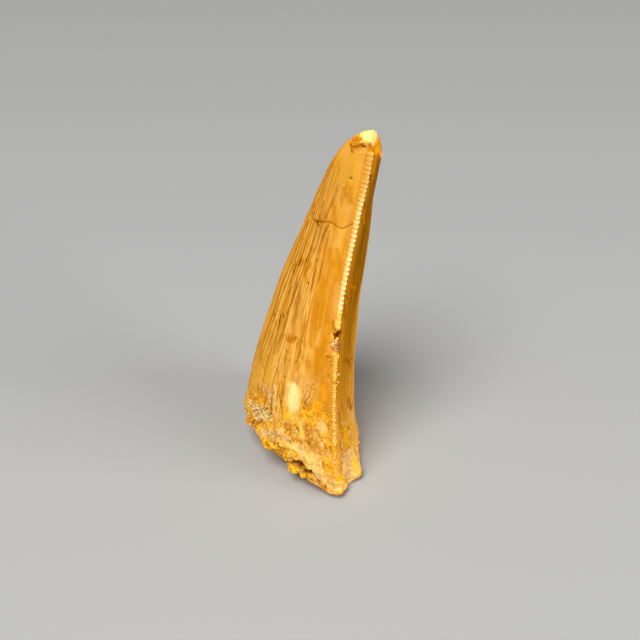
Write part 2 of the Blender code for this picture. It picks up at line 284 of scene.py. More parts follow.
# The tip broke off in flat spalls. How far each one cut in is kept for the finish.
spalled = []
for place, way in TIP_SPALLS:
    way = unit(np.array(way))
    past = np.maximum((points - np.array(place)) @ way, 0)
    points = points - past[:, None] * way
    spalled.append(past)


def scoop(places):
    """Pushes the points that lie in a scoop on to its far wall, and gives how far each has moved."""
    moved = np.zeros(len(places))
    for centre, half, way in SCOOPS:
        start = (places - np.array(centre)) / np.array(half)
        step = unit(np.array(way)) / np.array(half)
        near = np.flatnonzero(np.linalg.norm(start, axis=1) < SCOOP_REACH)
        reach = 1 + SCOOP_ROUGHNESS * noise_of(places[near], SCOOP_ROUGHNESS_SIZE)
        start = start[near]
        b, c = start @ step, (start * start).sum(axis=1) - reach**2
        a = step @ step
        deep = np.where(c < 0, (-b + np.sqrt(np.maximum(b * b - a * c, 0))) / a, 0)
        places[near] += deep[:, None] * unit(np.array(way))
        moved[near] += deep
    return moved


scooped = scoop(points)


def ring_faces(rings, count):
    """Quads between rings of points that close on themselves."""
    row = np.arange(rings - 1)[:, None] * count
    here = np.arange(count)[None]
    after = (here + 1) % count
    corners = (row + here, row + count + here, row + count + after, row + after)
    return np.stack(corners, axis=-1).reshape(-1, 4).tolist()


here = np.arange(round_count)
after = (here + 1) % round_count
last = (ring_count - 1) * round_count
tip_index = ring_count * round_count
bottom = np.stack([after, np.full(round_count, tip_index + 1), here], axis=-1)
top = np.stack([last + here, np.full(round_count, tip_index), last + after], axis=-1)


def in_scene(data):
    """A piece of the scene made of this data, by the same name."""
    item = bpy.data.objects.new(data.name, data)
    bpy.context.scene.collection.objects.link(item)
    return item


def mesh_object(name, vertices, faces, edges=()):
    data = bpy.data.meshes.new(name)
    data.from_pydata(vertices.tolist(), edges, faces)
    data.shade_smooth()
    return in_scene(data)


def give(item, name, values):
    """Keeps a number or a vector at each point of a piece, for its relief and its finish to read."""
    kind = "FLOAT_VECTOR" if values.ndim == 2 else "FLOAT"
    field = item.data.attributes.new(name, kind, "POINT")
    field.data.foreach_set("vector" if values.ndim == 2 else "value", values.astype(np.float32).ravel())


crown_faces = ring_faces(ring_count, round_count) + bottom.tolist() + top.tolist()
crown_piece = mesh_object("crown", points * MM, crown_faces)

# What follows the growth of the tooth is read from fields kept at the points: the grain, whose first two
# values stay the same all the way up a line from base to tip, the height above the broken rim, the distance
# from the saw edge, the height above the crack that runs round the crown, the length round the section, and
# which face it is, from -1 to 1. Others say how far the spalls and scoops cut in and how crumbly it is.
CRACK_STATIONS = (-1.0, -0.94, -0.88, -0.81, -0.73, -0.61, -0.475, -0.36, -0.256, -0.11, 0.3, 1.0)
LABIAL_CRACK = (31.8, 31.6, 31.2, 31.0, 31.05, 31.3, 31.15, 30.95, 30.75, 30.5, 30.9, 31.3)
LINGUAL_CRACK = (31.8, 31.75, 31.6, 31.4, 31.3, 31.7, 31.2, 30.9, 31.5, 31.1, 30.4, 31.3)
# What the fields hold where there is nothing to measure: under the base, and at the very tip.
FAR_OFF = 9.0
TIP_FROM_SAW = 1.0
FACE_FADE = 1.2
UNDERSIDE_CRUMBLY = 0.6

at_waist = crown_points(np.full_like(heights, EVEN_AT), all_along, all_face)
grain = np.stack([at_waist[..., 0], at_waist[..., 1], heights], axis=-1).reshape(-1, 3)
grain = np.concatenate([under[::-1].reshape(-1, 3), grain, tip, np.zeros((1, 3))])
above_rim = np.concatenate([np.zeros(under_count), (heights - rim).ravel(), [HEIGHT, 0]])
saw_edge = crown_points(levels, np.full_like(levels, -1.0), all_face)
from_saw = np.linalg.norm(crown_points(levels, all_along, all_face) - saw_edge, axis=-1).ravel()
from_saw = np.concatenate([np.full(under_count, FAR_OFF), from_saw, [TIP_FROM_SAW, FAR_OFF]])
girth = by_face(
    face,
    np.interp(along, labial_turns, np.linspace(0, SECTION_LENGTH, LABIAL_STEPS + 1)),
    np.interp(along, lingual_turns, np.linspace(0, SECTION_LENGTH, LINGUAL_STEPS + 1)),
)
girth = np.concatenate([np.zeros(under_count), np.broadcast_to(girth, heights.shape).ravel(), [0, 0]])
crack_line = by_station(CRACK_STATIONS, LABIAL_CRACK, LINGUAL_CRACK)
crack = np.concatenate([np.full(under_count, -FAR_OFF), (heights - crack_line).ravel(), [FAR_OFF, -FAR_OFF]])
middle_x = eased(np.clip(points[:, 2] / HEIGHT, 0, 1), SWAY_STATIONS, SWAY)
lingual = np.clip((points[:, 0] - middle_x) / FACE_FADE, -1, 1)
crumbly = (crust * crumbly).ravel()
crumbly = np.concatenate([np.full(under_count, UNDERSIDE_CRUMBLY), crumbly, [0, UNDERSIDE_CRUMBLY]])
for name, values in (
    ("grain", grain), ("above_rim", above_rim), ("from_saw", from_saw), ("crack", crack), ("girth", girth),
    ("lingual", lingual), ("spalled", np.stack(spalled, axis=-1)), ("scooped", scooped), ("crumbly", crumbly),
):
    give(crown_piece, name, values)


# ---- Crown: its stains and hairlines ----------------------------------------------------------------
# Iron and clay from the rock have stained the enamel in patches, and brown lines have crept along its grain.
# Both are drawn as strokes: spots in order and the half width in millimetres. A spot is where the camera sees
# it, across and down its picture, and it lies on the crown there. A stroke's field is 0 on its line and 1 at
# its edge, and the finishes break that edge up with noise. Some umber and dark strokes are painted shade, in
# the crevices between crust lumps and in the hollows at the rim.
PICTURE_SIZE = 640
STROKES = {
    "break": (
        ((364.5, 136), (371.5, 137), 0.46), ((373, 135), (375, 139), 0.24),
    ),
    "clear": (
        ((311, 330), (308, 352), 0.18), ((319, 332), (316, 346), 0.15), ((312, 342), (310, 358), 0.2),
        ((342, 228), (338, 246), 0.24), ((304, 282), (302, 300), (299, 318), (297, 336), 0.33),
        ((291, 312), (289, 330), 0.31), ((294, 346), (291, 368), (288, 384), 0.35),
        ((318, 229), (314, 246), 0.2), ((281, 368), (280, 388), 0.22), ((300, 372), (301, 384), 0.22),
        ((283, 352), (279, 366), 0.24), ((309, 292), (307, 310), 0.18),
    ),
    "cream": (
        ((293, 390.5), (293, 393), (292, 404), 0.76), ((293.5, 385.5), (292, 408.5), 0.34),
    ),
    "tan": (
        ((300, 376), (306, 380), (312, 384), 0.37), ((302, 388), (309, 394), 0.26),
        ((338, 286), (338, 300), (336, 308), 0.24), ((297, 374), (299, 386), 0.26),
        ((305, 386), (307, 398), 0.26), ((346, 147), (344, 155), 0.17),
        ((303, 386), (309, 389), (306, 400), 0.36), ((296, 425), (300, 432), 0.32),
        ((262, 432), (272, 438), (282, 441), 0.39), ((336, 342), (338, 349), 0.26),
        ((345, 457), (350, 468), 0.43), ((278, 366), (283, 372), 0.26),
    ),
    "pale": (
        ((291.5, 406), (292, 417), 0.49), ((335.5, 427), (335.5, 443), 0.2),
        ((334.5, 352), (334.5, 372), (334, 400), (334, 424), 0.12), ((361.5, 136), (362.5, 141), 0.21),
        ((381, 153.5), (381, 155), 0.13), ((355, 428), (356, 446), 0.14), ((300, 424), (302, 436), 0.28),
        ((268, 372), (268, 380), 0.12), ((335, 322), (338, 328), 0.19),
    ),
    "chalk": (
        ((311, 476), (317, 480), 0.14), ((326, 488), (332, 490), 0.11), ((262, 428), (268, 432), 0.2),
        ((270, 433), (277, 437), 0.22), ((283, 437), (287, 440), 0.15), ((346, 462), (349, 470), 0.22),
        ((264, 433), (272, 437), 0.26), ((280, 430), (283, 436), 0.17), ((345, 474), (348, 480), 0.28),
        ((300, 448), (304, 452), 0.17), ((316, 474), (322, 480), 0.21), ((351.5, 411), (351, 420), 0.25),
        ((344, 456), (348, 462), (350, 470), 0.54), ((283, 436), (290, 441), 0.18),
        ((262, 431), (270, 434), (277, 433), 0.34), ((249.5, 396), (249.5, 400), 0.13),
        ((248.5, 411), (248.5, 418), 0.13), ((336, 340), (333.5, 345), (336, 349), 0.21),
        ((269, 420), (272, 424), 0.16), ((314, 483), (319, 485), 0.19), ((263, 384), (264, 394), 0.17),
        ((270, 389.5), (271.5, 403.5), 0.26), ((352, 453.5), (354, 462), 0.5),
        ((349, 456), (347.5, 472), 0.34),
    ),
    "bone": (
        ((329, 484), (336, 488), 0.18), ((274, 398), (273.5, 408), 0.09), ((282, 396), (283, 406), 0.09),
        ((322, 482), (329, 486), (337, 488), 0.18), ((340, 482), (345, 484), 0.17),
        ((350, 470), (350, 480), 0.26), ((330, 478), (336, 482), 0.18), ((352.5, 412), (352.5, 420), 0.15),
        ((349, 428), (350, 435), 0.18), ((344, 477), (344, 486), 0.17), ((296, 430), (297, 434), 0.15),
        ((316, 472), (320, 476), 0.13), ((295, 459), (298, 461), 0.11),
        ((348, 452), (352, 452), (355, 458), 0.34), ((355, 458), (356, 466), (355, 474), (351, 480), 0.7),
        ((345, 460), (344, 468), (346, 476), 0.42), ((357, 462), (357.5, 470), (356, 476), 0.5),
        ((351, 412), (351.5, 420), 0.17), ((344, 466), (350, 478), 0.45), ((352, 448), (354, 456), 0.26),
        ((290, 444), (300, 452), (312, 462), 0.56), ((330, 486), (344, 487), 0.32),
        ((288, 441), (298, 449), (307, 459), (316, 468), (322, 476), 0.64), ((312, 455), (320, 464), 0.48),
        ((322, 478), (330, 484), (340, 488), 0.39), ((340, 490), 0.27), ((275, 386), (275, 402), 0.28),
        ((322, 425), (322, 444), 0.45),
    ),
    "yellow": (
        ((285, 398), (285, 414), 0.13), ((253, 396), (251, 408), 0.11), ((264, 396), (262, 404), 0.1),
        ((264, 417), (270, 422), 0.22), ((333, 466), (328, 474), 0.26), ((338, 459), (334, 466), 0.2),
        ((357.5, 462), (358, 475), 0.12), ((271, 367), (270, 378), 0.17), ((252, 377), (250.5, 387), 0.15),
        ((304, 399), (304, 410), 0.18), ((313, 410), (316, 420), 0.22), ((266, 421), (270, 426), 0.32),
        ((262, 397), (263, 408), 0.19), ((299, 412), (306, 420), (312, 424), 0.36),
        ((290, 414), (292, 421), 0.32), ((344, 430), (350, 444), 0.36), ((324, 436), (330, 446), 0.26),
        ((352, 456), (355, 470), 0.13), ((326, 461), (330, 470), 0.39), ((272, 446), (284, 452), 0.32),
        ((322, 414), (327, 420), 0.26), ((258, 424), (262, 428), 0.15), ((328, 460), (328, 468), 0.41),
        ((335, 449.5), (336, 453), 0.28), ((349, 428), (347, 441), 0.39), ((267, 442), (278, 447), 0.41),
        ((279, 450), (294, 453), 0.36), ((263, 418), (268, 423), 0.31), ((251.5, 379), (252, 387), 0.15),
        ((271, 367), (270, 373), (269, 378.5), 0.2), ((252, 376.5), (250.5, 387), 0.2),
        ((284, 404), (284.5, 418), 0.21), ((310, 414), (317, 404), 0.39), ((336, 478), (343, 480), 0.26),
        ((357, 459), 0.16), ((255, 392), (257, 400), 0.19), ((262, 402), (266, 404), 0.26),
        ((295, 468), (298, 470), 0.28), ((302, 474), (308, 477), 0.26), ((299, 410), (306, 418), 0.28),
        ((337, 310), (338, 319), 0.18),
    ),
    "gold": (
        ((276, 396), (276, 410), 0.13), ((268, 392), (267, 402), 0.11), ((260, 388), (258, 402), 0.11),
        ((316, 296), (314, 316), (312, 334), 0.18), ((324, 286), (323, 306), (320, 326), 0.18),
        ((318, 350), (316, 372), 0.24), ((327, 352), (332, 361), 0.17), ((306, 322), (304, 346), 0.13),
        ((345, 292), (344, 310), 0.18), ((322, 284), (320, 300), (318, 318), 0.33),
        ((331, 290), (329, 306), (327, 322), 0.33), ((333, 322), (331, 334), 0.24),
        ((268, 356), (264, 374), 0.22), ((301, 256), (296, 272), 0.33), ((263, 380), (261, 396), 0.2),
        ((336, 276), (333, 292), 0.18), ((341, 262), (338, 280), 0.18), ((325, 340), (322, 356), 0.26),
        ((258, 384), (258, 396), 0.15), ((281, 404), (283, 416), 0.17), ((311, 404), (314, 414), 0.24),
        ((329, 404), (330, 424), 0.17), ((338.5, 162), (340, 173), 0.07), ((346, 440), (350, 448), 0.19),
        ((270, 414), (276, 424), 0.24), ((334, 206), (334.5, 228), 0.2),
        ((323, 280), (322, 292), (320, 304), 0.28), ((330, 250), (329, 262), 0.26),
        ((350, 189), (350, 201), 0.26), ((304, 262), (306, 282), 0.24),
        ((322, 374), (326, 396), (325, 412), 0.49), ((316, 300), (313, 320), (310, 345), 0.28),
        ((353, 144), (358, 145), 0.28), ((266, 398), (262, 408), 0.19), ((263, 382.5), (263.5, 397), 0.26),
        ((279, 383.5), (280.5, 399.5), 0.2), ((273.5, 382), (273.5, 398), 0.16),
        ((282, 383), (283, 396), 0.24), ((344, 383), (345, 420), 0.28), ((325, 300), (322, 318), 0.24),
        ((345, 188), (346, 196), 0.15), ((337, 250), (339, 262), 0.16), ((299, 362), (297, 370), 0.17),
    ),
    "rust": (
        ((252, 422), 0.13), ((256, 422), (262, 428), 0.13), ((348, 404), (349, 416), 0.11),
        ((326, 351), (329, 356), 0.09), ((307, 392), (303, 402), 0.09), ((312, 386), (309, 396), 0.08),
        ((330, 341), (333, 349), 0.18), ((246, 404), (248, 412), 0.11), ((305, 414), (312, 422), 0.15),
        ((322, 440), (326, 448), 0.15), ((334, 440), (336, 450), 0.15),
        ((285, 424), (290, 432), (293, 438), 0.39), ((303, 428), (309, 438), (314, 444), 0.47),
        ((296, 437), (301, 442), 0.24), ((339, 339), (339.5, 343), 0.14), ((250, 398), (252, 403), 0.17),
        ((341, 404), (343, 412), 0.17), ((347, 404), (350, 409), 0.19), ((317, 430), (321, 438), 0.19),
        ((325, 355), (331, 358.5), 0.21), ((321, 350), (326, 353), 0.1), ((292, 421), (298, 428), 0.28),
        ((306, 426), (307, 432), (309, 438), 0.26), ((311, 440), (317, 446), 0.21),
        ((256, 399), (250, 403), 0.21), ((249, 419), (255, 424), 0.21), ((330, 361), (332, 368), 0.11),
        ((319, 371), (323, 370), 0.1), ((316, 374), (318, 377), 0.11), ((372, 143), (374, 147), 0.11),
        ((331, 334), (334, 338), 0.18), ((286, 350), (288, 352), 0.17), ((328, 368), (328, 380), 0.13),
        ((313, 384), (316, 392), 0.13), ((274, 392), (272, 398), 0.11), ((330, 414), (330, 428), 0.21),
        ((301, 461), (303, 464), 0.16), ((282, 455), (292, 458), 0.15), ((303, 470), (309, 474), 0.18),
    ),
    "orange": (
        ((374, 143), (376, 149), 0.31), ((371, 147), (373, 150), 0.17), ((323, 388), (324, 398), 0.34),
        ((318, 410), (320, 404), 0.24),
    ),
    # Umber: stains, and painted shade in the crevices between crust lumps and at the bottom of the rim.
    "umber": (
        ((350.5, 144), (351.5, 147), (354.5, 147), 0.11), ((354.5, 147), (360, 145), (364, 143.5), 0.1),
        ((369.5, 144), (370.5, 148), 0.12),
        ((272, 397), (271, 411), 0.09), ((266, 395), (264, 406), 0.09), ((279.5, 394), (281, 408), 0.08),
        ((309.5, 396), (305, 402), (303, 408), 0.09), ((256, 396), (254, 408), 0.08),
        ((250.5, 391), (249, 402), 0.08), ((318, 481), (320, 484), 0.09), ((306, 474), (308, 477), 0.1),
        ((323, 486), (325, 489), 0.08), ((333, 484), (334, 488), 0.07), ((333, 326), (335, 331), 0.07),
        ((345, 357), (350, 366), 0.13), ((258, 388), (257, 400), 0.1), ((270, 404), (271, 414), 0.1),
        ((262, 422), (266, 425), 0.09), ((252, 424), (256, 428), 0.12), ((296, 262), (293, 270), 0.14),
        ((302, 256), (299, 264), 0.12), ((266, 443.5), (269, 446), 0.1), ((272, 447.5), (276, 449.5), 0.1),
        ((279, 450), (283, 452.5), 0.1), ((285, 453), (288, 456), 0.1), ((270, 440), (273, 442), 0.08),
        ((277, 443.5), (280, 446), 0.08), ((284, 447.5), (287, 449.5), 0.08),
        ((352, 402), (351.5, 409), 0.13), ((254, 420), (258, 424), 0.11), ((250, 412), (252, 418), 0.1),
        ((338, 474), (338, 483), 0.09), ((297, 428), (299, 431), 0.11), ((306, 440), (309, 443), 0.11),
        ((289, 441), (290.5, 443), 0.1), ((361.5, 145.5), (366, 146.5), 0.1),
        ((347, 400), (348, 405), 0.12), ((278, 443), (280, 445), 0.1), ((337.5, 341), (339.5, 346), 0.14),
        ((340.5, 350), (338.5, 353), 0.1), ((266, 410), (268, 414), 0.11), ((277, 391), (277.5, 400), 0.07),
        ((282, 392), (281.5, 404), 0.07), ((347.5, 426.5), (349, 429), 0.12),
        ((350, 399), (351, 408), 0.16), ((339, 412), (340.5, 428), 0.15), ((341.5, 462), (342, 470), 0.12),
        ((338, 471), (338.5, 483), 0.07), ((351.5, 149), (352, 152), 0.12),
        ((348, 396), (350, 402), (349.5, 409), 0.11), ((311, 479), (317, 481.5), 0.12),
        ((325.5, 484), (326, 488), 0.11), ((333.5, 320), (333, 326), (335, 330), 0.1),
        ((343, 361), (352, 358), 0.13), ((378, 156), (381, 158), 0.17), ((356, 287), (358, 294), 0.13),
        ((351, 290), (352, 297), 0.13), ((345, 305), (345, 318), 0.17), ((344, 296), (349, 300), 0.15),
        ((365, 203), (364, 208), 0.15), ((336.5, 386), (336, 399), 0.1), ((349.5, 335), (350, 350), 0.11),
        ((371, 175), (370, 190), 0.21), ((340, 442), (341, 450), 0.11), ((268, 408), (264, 412), 0.11),
        ((262, 421), (257, 424), 0.11), ((270, 405), (272, 410), 0.1), ((255, 420), (252, 424), 0.1),
        ((330, 446), (331, 450), 0.1), ((323, 462), (323.5, 468), 0.1),
    ),
    "burnt": (
        ((364, 215), (365, 224), 0.11), ((351, 286), (356, 288.5), 0.14), ((350, 357), 0.13),
        ((353.5, 139.5), (361, 138.5), 0.2), ((288, 340), (291, 340.5), 0.24),
        ((292, 339), (296.5, 337.5), 0.16),
    ),
    # Dark: small dark stains, and painted shade in crevices and in the hollows at the rim.
    "dark": (
        ((307, 398.5), (304.5, 403.5), 0.06), ((349.5, 400), (350.5, 408), 0.08),
        ((266, 412), (266.5, 414), 0.06), ((262, 415), (263, 417), 0.06), ((270, 417), (271, 419), 0.06),
        ((336.5, 331.5), (341, 333.5), 0.09), ((307, 475), (307.5, 476.5), 0.06),
        ((319, 482.5), (319.5, 483.5), 0.06), ((281, 315), (279, 322), 0.12),
        ((276, 320), (275, 325), 0.08), ((352, 404), (351.5, 407), 0.09), ((338, 476), (338, 482), 0.06),
        ((267.5, 444.5), (268.5, 445.5), 0.07), ((281, 451.5), (282.5, 452.5), 0.07),
        ((362, 145.5), (366, 146.5), 0.09), ((295, 461.5), (301, 465.5), 0.31),
        ((305, 468), (311, 470.5), 0.21), ((338, 333.5), (338.5, 340), 0.21),
        ((299.5, 260), (298.5, 265), 0.13), ((306, 259), (306, 262), 0.09), ((294, 271), (293, 274), 0.1),
        ((308, 282.5), (308, 284), 0.09), ((317, 222), (316.5, 225), 0.1), ((328, 225), (328, 226.5), 0.06),
        ((283, 313), (283.5, 318), 0.1), ((306.5, 404), (306.5, 405), 0.09),
        ((304.5, 408), (304.5, 409), 0.07), ((334.5, 434), (334.5, 437), 0.09),
        ((360.5, 262), (360.5, 268), 0.09), ((350.5, 177), (351, 178.5), 0.13),
        ((274.5, 442), (274.5, 444), 0.09), ((349, 401), (349, 405), 0.07), ((364, 204), (365, 206), 0.1),
        ((274.5, 313), (273.5, 317), 0.09),
    ),
    "sand": (
        ((250, 403), (256, 408), (262, 412), 0.37), ((264, 408), (270, 418), 0.29),
        ((252, 408), (256, 414), (260, 414), 0.58), ((262, 412), (269, 416), 0.32),
    ),
}
STROKE_FIELD_END = 4.0

# The brown hairlines that stand out among the finer ones, as strokes too.
HAIRLINES = (
    ((351, 146), (353, 149), (358, 148), (363, 147), 0.107), ((361.5, 144.5), (366, 145), 0.096),
    ((368, 146), (369, 151), 0.107), ((323, 203), (321, 210), (319.5, 217), 0.08),
    ((332, 203), (329, 210), (326.5, 217), 0.059), ((318, 200), (314, 206), (311.5, 213), 0.053),
    ((315, 222), (308, 237), (305, 246), (299, 264), 0.086),
    ((318, 226), (313.5, 240), (310.5, 248), (306, 261), 0.07),
    ((326, 229), (323.5, 236), (320, 250), (318, 259), 0.064),
    ((329, 233), (325, 249), (322, 264), (319, 280), 0.07),
    ((332, 262), (329, 270), (325, 287), (324, 295), 0.064),
    ((316, 262), (315, 272), (313, 282), (311, 290), 0.053),
    ((310, 264), (303, 279), (296.5, 303), (291.5, 321), 0.064),
    ((313, 276), (312, 284), (310, 292), (309, 302), 0.048), ((296, 266), (293, 274), (290.5, 282), 0.053),
    ((291, 288), (284, 304), (282, 311), (277, 328), 0.07),
    ((277, 310), (274, 318), (271, 327), (268, 338), 0.059),
    ((289, 312), (287, 319), (281, 336), (278, 345), 0.07), ((292, 322), (290.5, 328), (289, 335), 0.064),
    ((280, 322), (277.5, 332), (275.5, 340), (273.5, 352), 0.064),
    ((300, 352), (298, 358), (296, 362), 0.059), ((290.5, 361), (290, 368), 0.059),
    ((318, 306), (316, 318), (315, 328), 0.048), ((302, 262), (299, 272), (296, 284), (293, 294), 0.048),
    ((338, 186), (336, 193), (333, 201), (331, 207), 0.064), ((343, 189), (341, 200), 0.048),
    ((347, 184), (344, 196), (341, 206), 0.043), ((308, 390), (304, 397), (302, 403), 0.048),
    ((312, 384), (307, 392), 0.048), ((313.5, 397), (309, 402.5), (304.5, 409), 0.064),
    ((306, 386), (303, 391), 0.043), ((307, 222), (303, 231), (295, 252), (292, 262), 0.053),
    ((303, 239), (299, 249), (296, 257), 0.053), ((313, 213), (309, 221), (304, 231), (301, 240), 0.048),
    ((286, 284), (282, 295), (279, 303), 0.053), ((281, 296), (277, 305), (273, 315), 0.053),
    ((297, 286), (293, 296), (290, 305), (287, 313), 0.053),
    ((304, 286), (302, 295), (300, 306), (298, 316), 0.043), ((283, 330), (279, 342), (277, 352), 0.048),
    ((272, 342), (270, 352), (268, 362), 0.048), ((266, 330), (263, 342), (260, 354), 0.048),
    ((296, 334), (294, 342), 0.043), ((311, 346), (310.5, 358), 0.053), ((301, 340), (300, 350), 0.043),
    ((305, 318), (304, 330), (302, 341), 0.037), ((286, 356), (285, 366), (284, 376), 0.043),
    ((280, 356), (278, 364), (278, 372), 0.048), ((262, 356), (262, 366), 0.048),
    ((368, 215), (366, 228), (364, 242), (362.5, 256), 0.075),
    ((371.5, 196), (370, 208), (368, 222), 0.064), ((358, 258), (357, 268), (356, 280), 0.064),
    ((363, 270), (361, 284), 0.064), ((348.5, 345), (348.5, 365), (348, 385), 0.064),
    ((352, 335), (352, 352), 0.064), ((353, 300), (352, 318), (351, 332), 0.064),
    ((346, 350), (345.5, 372), (345, 395), 0.048), ((350.5, 362), (350.5, 380), (350, 395), 0.053),
    ((342, 365), (342, 385), (341.5, 408), 0.043), ((345, 322), (344, 340), 0.048),
    ((341.5, 430), (341, 446), 0.053),
)
HAIRLINE_FIELD_END = 2.0
HAIRLINE_REACH = HEIGHT / 4
crown_skin = BVHTree.FromPolygons(points.tolist(), crown_faces)


def points_of(item):
    """The points of a piece, in metres."""
    places = np.empty(len(item.data.vertices) * 3)
    item.data.vertices.foreach_get("co", places)
    return places.reshape(-1, 3)


def on_crown(spots):
    """The places in millimetres on the crown that the camera sees at these spots of its picture."""
    middle = PICTURE_SIZE / 2
    ahead = camera_back * (middle / math.tan(PICTURE_ANGLE / 2))
    ways = [camera_right * (across - middle) - camera_top * (down - middle) - ahead for across, down in spots]
    return np.array([crown_skin.ray_cast(camera_place / MM, way)[0] for way in ways])


def from_stroke(places, stroke):
    """How far each place is from a stroke, the way there from its nearest point, and how it runs there."""
    nearest = np.full(len(places), np.inf)
    off = np.zeros((len(places), 3))
    turned = np.zeros((len(places), 3))
    for first, second in zip(stroke, stroke[1:] if len(stroke) > 1 else stroke):
        way = second - first
        share = np.clip((places - first) @ way / max(way @ way, 1e-9), 0, 1)
        apart = places - first - share[:, None] * way
        distance = np.linalg.norm(apart, axis=1)
        closer = distance < nearest
        nearest[closer], off[closer], turned[closer] = distance[closer], apart[closer], unit(way)
    return nearest, off, turned


def give_strokes(item):
    """The strokes' fields at the points of a piece."""
    places = points_of(item) / MM
    for name, strokes in STROKES.items():
        field = np.full(len(places), STROKE_FIELD_END)
        for *spots, half_width in strokes:
            stroke = on_crown(spots)
            low, high = stroke.min(axis=0), stroke.max(axis=0)
            reach = half_width * STROKE_FIELD_END
            near = np.flatnonzero(((places > low - reach) & (places < high + reach)).all(axis=1))
            field[near] = np.minimum(field[near], from_stroke(places[near], stroke)[0] / half_width)
        give(item, name, field)


give_strokes(crown_piece)

# A hairline is thinner than the mesh is fine, so its field has a side: it runs from below 0 to above 0 across
# the line, in half widths, and a second field says in millimetres how near the line is. The lines are shared
# out over three sets, so that no two of a set lie close beside each other.
outward = np.empty(len(points) * 3)
crown_piece.data.vertex_normals.foreach_get("vector", outward)
outward = outward.reshape(-1, 3)
line_sets = [[], [], []]
for *spots, half_width in HAIRLINES:
    line = on_crown(spots)
    gaps = [[from_stroke(line, other)[0].min() for other, _ in chosen] for chosen in line_sets]
    roomiest = int(np.argmax([min(apart, default=HEIGHT) for apart in gaps]))
    line_sets[roomiest].append((line, half_width))
hair_side = np.full((len(points), len(line_sets)), FAR_OFF)
hair_near = np.full((len(points), len(line_sets)), HAIRLINE_FIELD_END)
for k, chosen in enumerate(line_sets):
    for line, half_width in chosen:
        near = np.flatnonzero(np.linalg.norm(points - line.mean(axis=0), axis=1) < HAIRLINE_REACH)
        distance, off, way = from_stroke(points[near], line)
        side = (off * unit(np.cross(way, outward[near]))).sum(axis=1)
        closer = distance < hair_near[near, k]
        hair_near[near[closer], k] = distance[closer]
        hair_side[near[closer], k] = side[closer] / half_width
give(crown_piece, "hair_side", hair_side)
give(crown_piece, "hair_near", hair_near)


# ---- Crown: its relief ------------------------------------------------------------------------------
# Enamel is never smooth: fine flutes run from base to tip, the surface swells a little, wrinkles cross it
# beside the saw edge, a crack runs round it, and the sandy crust over the base is crumbly.
def add_node(tree, kind, inputs=None, **settings):
    """A new node with its settings. Its inputs are linked or set, by socket name or number."""
    node = tree.nodes.new(kind)
    for key, value in settings.items():
        setattr(node, key, value)
    for socket, value in (inputs or {}).items():
        if isinstance(value, bpy.types.NodeSocket):
            tree.links.new(value, node.inputs[socket])
        elif value is not None:
            node.inputs[socket].default_value = value
    return node


def calc(tree, operation, first, second=None):
    return add_node(tree, "ShaderNodeMath", {0: first, 1: second}, operation=operation).outputs[0]


def product(tree, *factors):
    result = factors[0]
    for factor in factors[1:]:
        result = calc(tree, "MULTIPLY", result, factor)
    return result


def ramp(tree, value, low, high, start=0.0, end=1.0):
    """Eases from start to end as the value goes from low to high."""
    inputs = {"Value": value, "From Min": low, "From Max": high, "To Min": start, "To Max": end}
    return add_node(tree, "ShaderNodeMapRange", inputs, interpolation_type="SMOOTHSTEP").outputs[0]


def calc_way(tree, operation, first, second=None):
    """Arithmetic on ways or places, axis by axis."""
    return add_node(tree, "ShaderNodeVectorMath", {0: first, 1: second}, operation=operation).outputs[0]


def scaled(tree, way, by):
    return add_node(tree, "ShaderNodeVectorMath", {0: way, 3: by}, operation="SCALE").outputs[0]


def noise_field(tree, place, size, seed, detail=2.0, roughness=0.5):
    """Noise from 0 to 1 at a place in millimetres. Its lumps have this size, on all axes or on each."""
    sizes = size if isinstance(size, tuple) else (size, size, size)
    spot = calc_way(tree, "MULTIPLY", place, [1 / s for s in sizes])
    inputs = {"Vector": spot, "W": seed, "Scale": 1.0, "Detail": detail, "Roughness": roughness}
    return add_node(tree, "ShaderNodeTexNoise", inputs, noise_dimensions="4D").outputs[0]


def along_axes(tree, place):
    """The x, y and z of a place or a way."""
    return add_node(tree, "ShaderNodeSeparateXYZ", {0: place}).outputs


def from_axes(tree, x, y, z):
    return add_node(tree, "ShaderNodeCombineXYZ", {0: x, 1: y, 2: z}).outputs[0]


APART_IN_NOISE = 7.31


def striae(tree, girth, lines, spacing, waver, seed):
    """Lines up the crown this far apart: how far the nearest one is, 0 to 0.5, and how strong it is."""
    sway = noise_field(tree, lines, (1.7, 1.7, 13.0), seed, 2.0)
    turn = calc(tree, "ADD", calc(tree, "DIVIDE", girth, spacing), calc(tree, "MULTIPLY", sway, waver))
    number = calc(tree, "ROUND", turn)
    beside = from_axes(tree, calc(tree, "MULTIPLY", number, APART_IN_NOISE), 0.0, along_axes(tree, lines)[2])
    return calc(tree, "PINGPONG", turn, 0.5), noise_field(tree, beside, (1.0, 1.0, 4.5), seed, 1.5)


def new_tree(name, sizes):
    """A Geometry Nodes tree that takes a mesh and these named sizes. Gives it with its inputs by name."""
    tree = bpy.data.node_groups.new(name, "GeometryNodeTree")
    tree.interface.new_socket("Geometry", in_out="INPUT", socket_type="NodeSocketGeometry")
    for size, value in sizes.items():
        socket = tree.interface.new_socket(size, in_out="INPUT", socket_type="NodeSocketFloat")
        socket.default_value = value
    tree.interface.new_socket("Geometry", in_out="OUTPUT", socket_type="NodeSocketGeometry")
    return tree, tree.nodes.new("NodeGroupInput").outputs


def end_tree(tree, geometry, material):
    """Realises what the tree made, gives it its material and ends the tree."""
    real = add_node(tree, "GeometryNodeRealizeInstances", {0: geometry}).outputs[0]
    done = add_node(tree, "GeometryNodeSetMaterial", {"Geometry": real, "Material": material}).outputs[0]
    add_node(tree, "NodeGroupOutput", {0: done})


